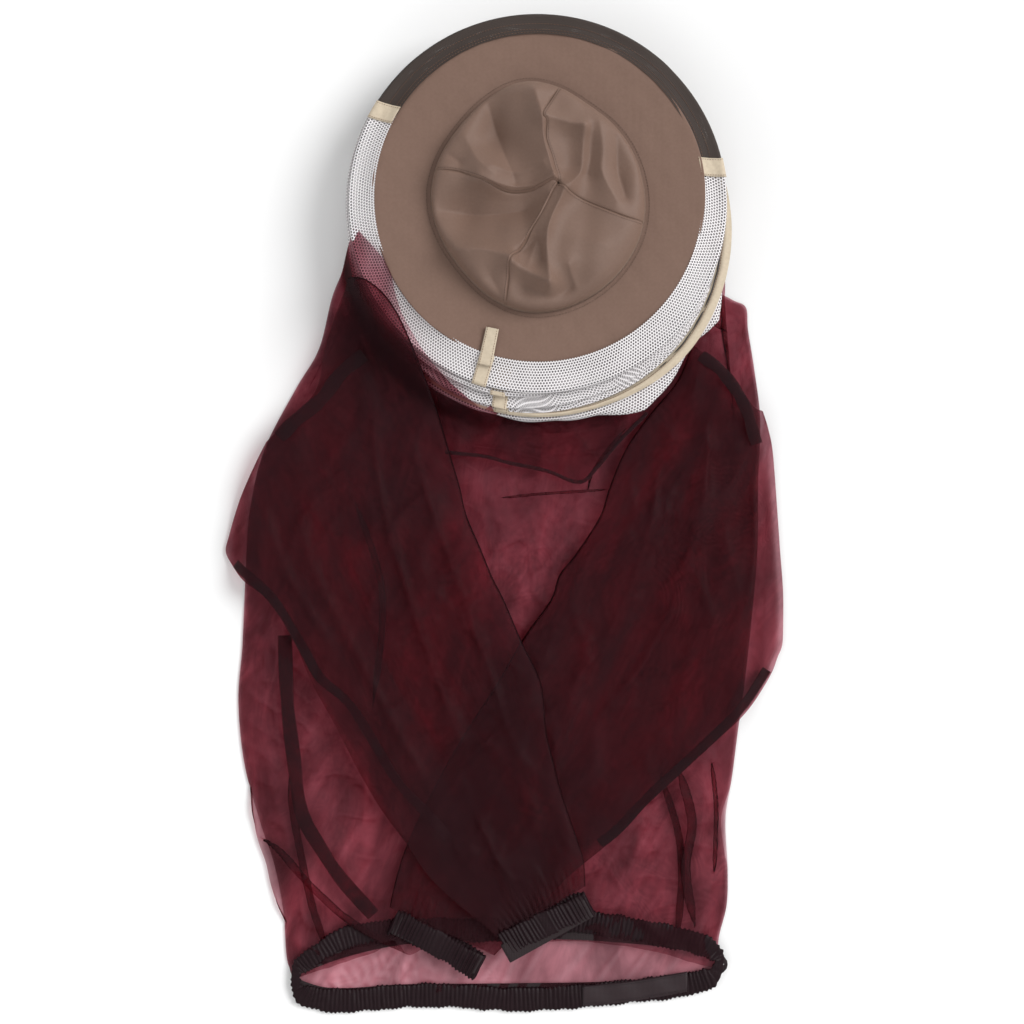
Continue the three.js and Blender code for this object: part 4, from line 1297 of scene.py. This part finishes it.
sleeveRight = {
    "node": "sleeve_right", "cloth": "organzaRight",
    "outer": [(251, 98), (257, 80), (262, 55), (267, -8), (269, -37), (272, -78), (272, -115),
              (271, -131), (267, -141), (260, -159),
              (245, -183), (229, -201), (208, -220), (180, -246), (140, -283), (114, -311), (95, -327),
              (60, -356), (28, -390), (-10, -431)],
    "inner": [(182, 163), (168, 128), (142, 96), (118, 62), (102, 25), (92, -5), (68, -42), (53, -61),
              (44, -86), (19, -121), (-10, -170),
              (-45, -225), (-75, -280), (-97, -328), (-108, -365), (-112, -384)],
    "armhole": [(251, 98), (240, 104), (214, 136), (182, 163)],
    "low": 13.6 * mm, "high": 19.2 * mm, "seed": 61, "over": 0.0,
    "start": (0.205, 0.10), "end": (0.18, -0.06),
    "folds": [([(200, 110), (190, 0), (150, -120), (60, -240)], 4.5, 9),
              ([(240, 60), (240, -60), (210, -160)], 4.0, 8),
              ([(150, 80), (140, -20), (100, -120), (40, -200)], 4.0, 7),
              ([(170, -20), (200, -120), (150, -200)], 3.5, 8),
              ([(60, -80), (80, -150), (40, -230)], 3.0, 8)],
}


def sleevePlan(data):
    outer, inner = spline(scaled(data["outer"]), 300), spline(scaled(data["inner"]), 300)
    rows, columns = 240, 72
    cuffEnd = np.stack([outer[-1], inner[-1]])
    grid = patch(outer, cuffEnd, inner, spline(scaled(data["armhole"]), 100), columns, rows)
    return grid.transpose(1, 0, 2)


def sagBeside(x, y, fall):
    # A sleeve that hangs past the body's side lies down on the floor there.
    left, right = spline(scaled(body["left"]), 300), spline(scaled(body["right"]), 300)
    past = np.maximum(np.interp(y, left[:, 1], left[:, 0]) - x, x - np.interp(y, right[:, 1], right[:, 0]))
    return fall * smoothStep((past + 6 * mm) / (26 * mm))


def makeSleeve(name, data, looks):
    plan = sleevePlan(data)
    rows, columns = plan.shape[:2]
    share = np.linspace(-1, 1, columns)
    puff = np.sqrt((1 - share ** 6).clip(0))
    x, y = plan[..., 0], plan[..., 1]
    seed = data["seed"]
    lift = data["over"] * overVeil(x, y)
    half = 0.5 * (data["high"] - data["low"])
    middle = 0.5 * (data["low"] + data["high"]) - sagBeside(x, y,
                                                            0.5 * (data["low"] + data["high"]) - half
                                                            - 1.5 * mm)
    along = np.linspace(0, 1, rows)[:, None]
    streak = np.linspace(0, 1, columns)[None] * 9 + 1.3 * np.sin(5 * along + seed)
    grain = 0.9 * mm * np.sin(streak * 2 * math.pi * 0.5 + 2 * np.sin(9 * along)) * (0.6 + 0.4
        * np.sin(13 * along + streak))
    top = ridges(x.ravel(), y.ravel(), data["folds"]).reshape(x.shape) + 0.8 * clothRelief(x.ravel(),
        y.ravel(), seed).reshape(x.shape) + grain
    low = 0.6 * clothRelief(x.ravel(), y.ravel(), seed + 9).reshape(x.shape)
    gather = smoothStep((along - 0.93) / 0.07)
    pinch = 1.1 * mm * gather * np.sin(share[None] * 58)
    upper = middle + lift + puff[None] * (half + top.clip(-half * 0.6, 6 * mm) + pinch)
    lower = middle + lift - puff[None] * (half - low.clip(-1.2 * mm, half * 0.9) - pinch)
    loop = np.concatenate([np.stack([x, y, upper], -1), np.stack([x, y, lower], -1)[:, -2:0:-1]], axis=1)
    loop = np.concatenate([loop, loop[:, :1]], axis=1)
    sleeve = newPiece(name, loop.reshape(-1, 3), gridFaces(rows, loop.shape[1]), looks[data["cloth"]])
    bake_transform(sleeve)
    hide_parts(data["node"])


def seamStrip(name, line, width, height, looks, ride, layers=2, cloth="organzaSeam"):
    # A seam allowance or a narrow fold: extra layers of the same sheer cloth along a line.
    path = spline(scaled(line), 120)
    run = np.gradient(path, axis=0)
    run /= np.linalg.norm(run, axis=1)[:, None]
    side = np.stack([-run[:, 1], run[:, 0]], -1)
    points = []
    faces = []
    columns = 7
    for k in range(layers):
        start = len(points)
        for s in np.linspace(-0.5, 0.5, columns):
            wobble = width * mm * (s + 0.05 * np.sin(np.linspace(0, 23, len(path)) + 9 * s + k))
            spot = path + side * wobble[:, None]
            z = height(spot[:, 0], spot[:, 1]) + 0.45 * mm * k + 0.3 * mm * math.cos(math.pi * s)
            points += [tuple(p) for p in np.column_stack([spot, z])]
        faces += (gridFaces(columns, len(path)) + start).tolist()
    piece = newPiece(name, points, faces, looks[cloth])
    ride(piece)
    return piece


def casing(name, path, across, half, thick, looks, pitch, depth, seams):
    # A gathered band round a closed path. across gives the direction of its width at each point.
    count = len(path)
    steps = np.linalg.norm(np.diff(np.concatenate([path, path[:1]]), axis=0), axis=1)
    along = np.concatenate([[0], np.cumsum(steps)[:-1]])
    sides = 20
    rows = []
    swell = []
    lean = []
    run = np.roll(path, -1, axis=0) - np.roll(path, 1, axis=0)
    run /= np.linalg.norm(run, axis=1)[:, None]
    up = np.cross(run, across)
    for turn in np.linspace(0, 2 * math.pi, sides, endpoint=False):
        side, lift = math.cos(turn), math.sin(turn)
        side = math.copysign(abs(side) ** 0.55, side)
        ripple = 1 + 0.05 * np.sin(along / (pitch * 1.7)) + 0.04 * np.sin(along / (pitch * 0.83) + side)
        rows.append(path + across * (half * side * ripple)[:, None] + up * thick * 0.5
                    * math.copysign(abs(lift) ** 0.8, lift))
        seam = min(abs(abs(side) - s) for s in seams)
        swell.append(np.full(count, 0.25 + 0.75 * min(1.0, seam / 0.18)))
        lean.append(np.full(count, side))
    rows.append(rows[0])
    swell.append(swell[0])
    lean.append(lean[0])
    piece = newPiece(name, np.concatenate(rows), gridFaces(sides + 1, count, True), looks["casing"])
    for label, values in (("along", np.tile(along, sides + 1)), ("swell", np.concatenate(swell)),
                          ("lean", np.concatenate(lean))):
        layer = piece.data.attributes.new(label, "FLOAT", "POINT")
        layer.data.foreach_set("value", values.astype(np.float32))
    bm = bmesh.new()
    bm.from_mesh(piece.data)
    bmesh.ops.remove_doubles(bm, verts=bm.verts, dist=1e-6)
    bmesh.ops.recalc_face_normals(bm, faces=bm.faces)
    bm.to_mesh(piece.data)
    bm.free()
    grow(piece, gathers, Pitch=pitch, Depth=depth, Jitter=4.0, Cloth=looks["casing"])
    return piece, along[-1]


hem = {
    "front": [(-205, -458), (-200, -470), (-180, -477), (-150, -478), (-105, -474), (-55, -473),
              (10, -477), (70, -474), (130, -468), (180, -462),
              (206, -452)],
    "back": [(212, -438), (196, -424), (170, -416), (130, -408), (90, -401), (60, -398), (48, -406),
             (-20, -407), (-90, -408), (-150, -414),
             (-182, -430), (-205, -448)],
    "half": 11.5 * mm,
    "thick": 3.6 * mm,
}


def makeHem(looks):
    low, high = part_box("hem_casing")
    front, back = spline(scaled(hem["front"]), 420), spline(scaled(hem["back"]), 420)
    z0, z1 = low.z + 3.2 * mm, high.z - 1.0 * mm
    ends = 30
    rise = smoothStep(np.linspace(0, 1, ends))
    frontZ = np.full(len(front), z0)
    frontZ[:ends] = between((z0 + z1) / 2, z0, rise)
    frontZ[-ends:] = between(z0, (z0 + z1) / 2, rise)
    backZ = np.full(len(back), z1)
    backZ[:ends] = between((z0 + z1) / 2, z1, rise)
    backZ[-ends:] = between(z1, (z0 + z1) / 2, rise)
    path = np.concatenate([np.column_stack([front, frontZ]), np.column_stack([back, backZ])])
    path = smoothClosed(path, 12)
    run = np.roll(path, -1, axis=0) - np.roll(path, 1, axis=0)
    across = np.column_stack([run[:, 1], -run[:, 0], 0 * run[:, 0]])
    across /= np.linalg.norm(across, axis=1)[:, None]
    turning = np.abs(run[:, 1]) / np.linalg.norm(run, axis=1)
    across *= (1 - 0.62 * turning ** 2)[:, None]
    piece, length = casing("hemCasing", path, across, hem["half"], hem["thick"], looks, 4.2 * mm,
                           0.85 * mm, (0.62,))
    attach(piece, "jacket")
    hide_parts("hem_casing")
    low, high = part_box("hem_join_patch")
    # The flat patch where the casing's ends are joined.
    outline = spline(scaled([(76, -473), (100, -471), (125, -468), (150, -464), (178, -459)]), 60)
    patchPoints = []
    for s in np.linspace(-0.5, 0.5, 9):
        for k, p in enumerate(outline):
            z = z0 + 3.0 * mm + 0.35 * mm * math.sin(0.33 * k + 3 * s) - 0.6 * mm * (2 * s) ** 4
            patchPoints.append((p[0], p[1] + s * 20 * mm, z))
    flat = newPiece("hemJoinPatch", patchPoints, gridFaces(9, len(outline)), looks["patch"])
    solid = flat.modifiers.new("cloth", "SOLIDIFY")
    solid.thickness = 0.7 * mm
    solid.offset = -1
    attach(flat, "jacket")
    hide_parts("hem_join_patch")
    grid = np.array(patchPoints).reshape(9, len(outline), 3)
    rows = [grid[1] + (0, 0, 0.5 * mm), grid[7] + (0, 0, 0.5 * mm)]
    thread = stitchRow("hemPatchStitches", rows, looks["darkThread"], 2.8 * mm, 2.0 * mm, 0.45 * mm)
    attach(thread, "jacket")


def smoothClosed(path, rounds):
    for _ in range(rounds):
        path = 0.25 * np.roll(path, 1, axis=0) + 0.5 * path + 0.25 * np.roll(path, -1, axis=0)
    return path


cuffs = {
    "left": {"middle": (34.5, -388), "turn": 29, "z": 25.6, "half": 46},
    "right": {"middle": (-61, -409), "turn": -26, "z": 17.0, "half": 48},
}


def makeCuff(side, looks):
    data = cuffs[side]
    turn = math.radians(data["turn"])
    across = np.array([math.cos(turn), math.sin(turn), 0])
    out = np.array([math.sin(turn), -math.cos(turn), 0])
    count = 420
    angles = np.linspace(0, 2 * math.pi, count, endpoint=False)
    wide = np.sign(np.cos(angles)) * np.abs(np.cos(angles)) ** 0.7
    middle = np.array([data["middle"][0], data["middle"][1], data["z"]]) * mm + out * 12 * mm
    bow = 2.0 * mm * np.sin(angles * 2 + 0.5) + 1.5 * mm * np.cos(angles)
    path = middle + across * (data["half"] * mm * wide)[:, None] + np.array([0, 0, 1]) * (3.0 * mm
        * np.sin(angles))[:, None]
    path = path + out * bow[:, None]
    directions = np.tile(out, (count, 1))
    node = f"cuff_{side}_casing"
    piece, length = casing(f"cuff{side.title()}", path, directions, 11.8 * mm, 2.6 * mm, looks,
                           3.9 * mm, 0.8 * mm, (0.66,))
    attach(piece, f"sleeve_{side}")
    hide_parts(node)


def finishHidden(looks):
    # CAD nodes that stay, with a worked material each.
    wanted = {"upper_hoop_wire": "wire", "lower_hoop_wire": "wire", "hem_elastic": "elastic",
              "cuff_left_elastic": "elastic",
              "cuff_right_elastic": "elastic", "neck_seam_tape": "tape"}
    for node, key in wanted.items():
        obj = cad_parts[node]
        if not obj.material_slots:
            obj.data.materials.append(looks[key])
        for slot in obj.material_slots:
            slot.material = looks[key]


yoke = {
    "bottom": [(-58, 58), (-20, 54), (3, 48), (40, 40), (72, 29)],
    "right": [(72, 29), (90, 44), (112, 70), (138, 96)],
    "top": [(-68, 122), (-20, 106), (40, 102), (138, 96)],
    "left": [(-58, 58), (-62, 90), (-68, 122)],
}


def makeYokeFold(looks):
    # Slack of the back, lapped over itself below the collar.
    edges = [spline(scaled(yoke[k]), 120) for k in ("bottom", "right", "top", "left")]
    grid = patch(*edges, 60, 110)
    flat = grid.reshape(-1, 2)
    height = 0.8 * clothRelief(flat[:, 0], flat[:, 1], 77).clip(-2 * mm, 3 * mm)
    height += ridges(flat[:, 0], flat[:, 1], [([(-50, 66), (0, 60), (60, 45)], 3, 7),
                                              ([(90, 50), (60, 80), (20, 96)], 3, 8)])
    points = np.column_stack([flat, body["gap"] + 7.5 * mm + height.clip(-2 * mm, 5 * mm)])
    piece = newPiece("yokeFold", points, gridFaces(60, 110), looks["organza"])
    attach(piece, "jacket")
    seamStrip("yokeFoldEdge", yoke["bottom"][:-1] + yoke["right"], 3.5,
              lambda x, y: 0 * x + body["gap"] + 9 * mm, looks,
              lambda made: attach(made, "jacket"), 3)


sleeveSeams = {
    "leftLevel": 25.0 * mm,  # height inside the folded sleeve
    "leftFall": 20.5 * mm,  # how far it drops beside the body
    "rightLevel": 16.4 * mm,
    "rightFall": 12.0 * mm,
}


def makeSeams(looks):
    def jacket(piece):
        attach(piece, "jacket")

    def onBack(x, y):
        return body["gap"] + 4.0 * mm + overVeil(x, y)

    seamStrip("sideSeamLeft", [(-214, -120), (-212, -180), (-206, -235), (-198, -291), (-180, -326),
                               (-158, -358), (-128, -392)], 13, onBack,
              looks, jacket, 3)
    seamStrip("armholeBandLeft", [(-218, 72), (-200, 90), (-178, 108), (-158, 134), (-136, 152)], 13,
              lambda x, y: 29.5 * mm + 0.86 * overVeil(x, y), looks, jacket, 3)
    seamStrip("armholeBandRight", [(190, 152), (212, 134), (232, 104), (244, 66)], 11,
              lambda x, y: 0 * x + 21.0 * mm, looks, jacket, 3)
    def left(piece):
        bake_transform(piece)

    def right(piece):
        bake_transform(piece)

    def inLeft(x, y):
        return sleeveSeams["leftLevel"] - sagBeside(x, y, sleeveSeams["leftFall"])

    def inRight(x, y):
        return sleeveSeams["rightLevel"] - sagBeside(x, y, sleeveSeams["rightFall"])

    seamStrip("sleeveSeamLeft", [(-262, -50), (-225, -84), (-196, -130), (-179, -160), (-152, -184),
                                 (-130, -217), (-105, -259), (-76, -291),
                                 (-52, -318)], 9, inLeft, looks, left, 3)
    seamStrip("sleeveSeamRight", [(256, -154), (240, -178), (225, -196), (205, -216), (177, -242),
                                  (137, -279), (111, -307), (92, -322)],
              9, inRight, looks, right, 4)


makeStage()
print("stage ready")
looks = makeMaterials()
makeBrim(looks)
makeCrown(looks)
makeSweatband(looks)
makeHatStitches(looks)
print("hat ready")
makeVeil(looks)
makeHoopTape(looks)
makeHatTapes(looks)
print("veil ready")
makeBody(looks)
makeSleeve("sleeveLeftCloth", sleeveLeft, looks)
makeSleeve("sleeveRightCloth", sleeveRight, looks)
makeSeams(looks)
makeYokeFold(looks)
print("body and sleeves ready")
makeHem(looks)
makeCuff("left", looks)
makeCuff("right", looks)
finishHidden(looks)
print("hem and cuffs ready")
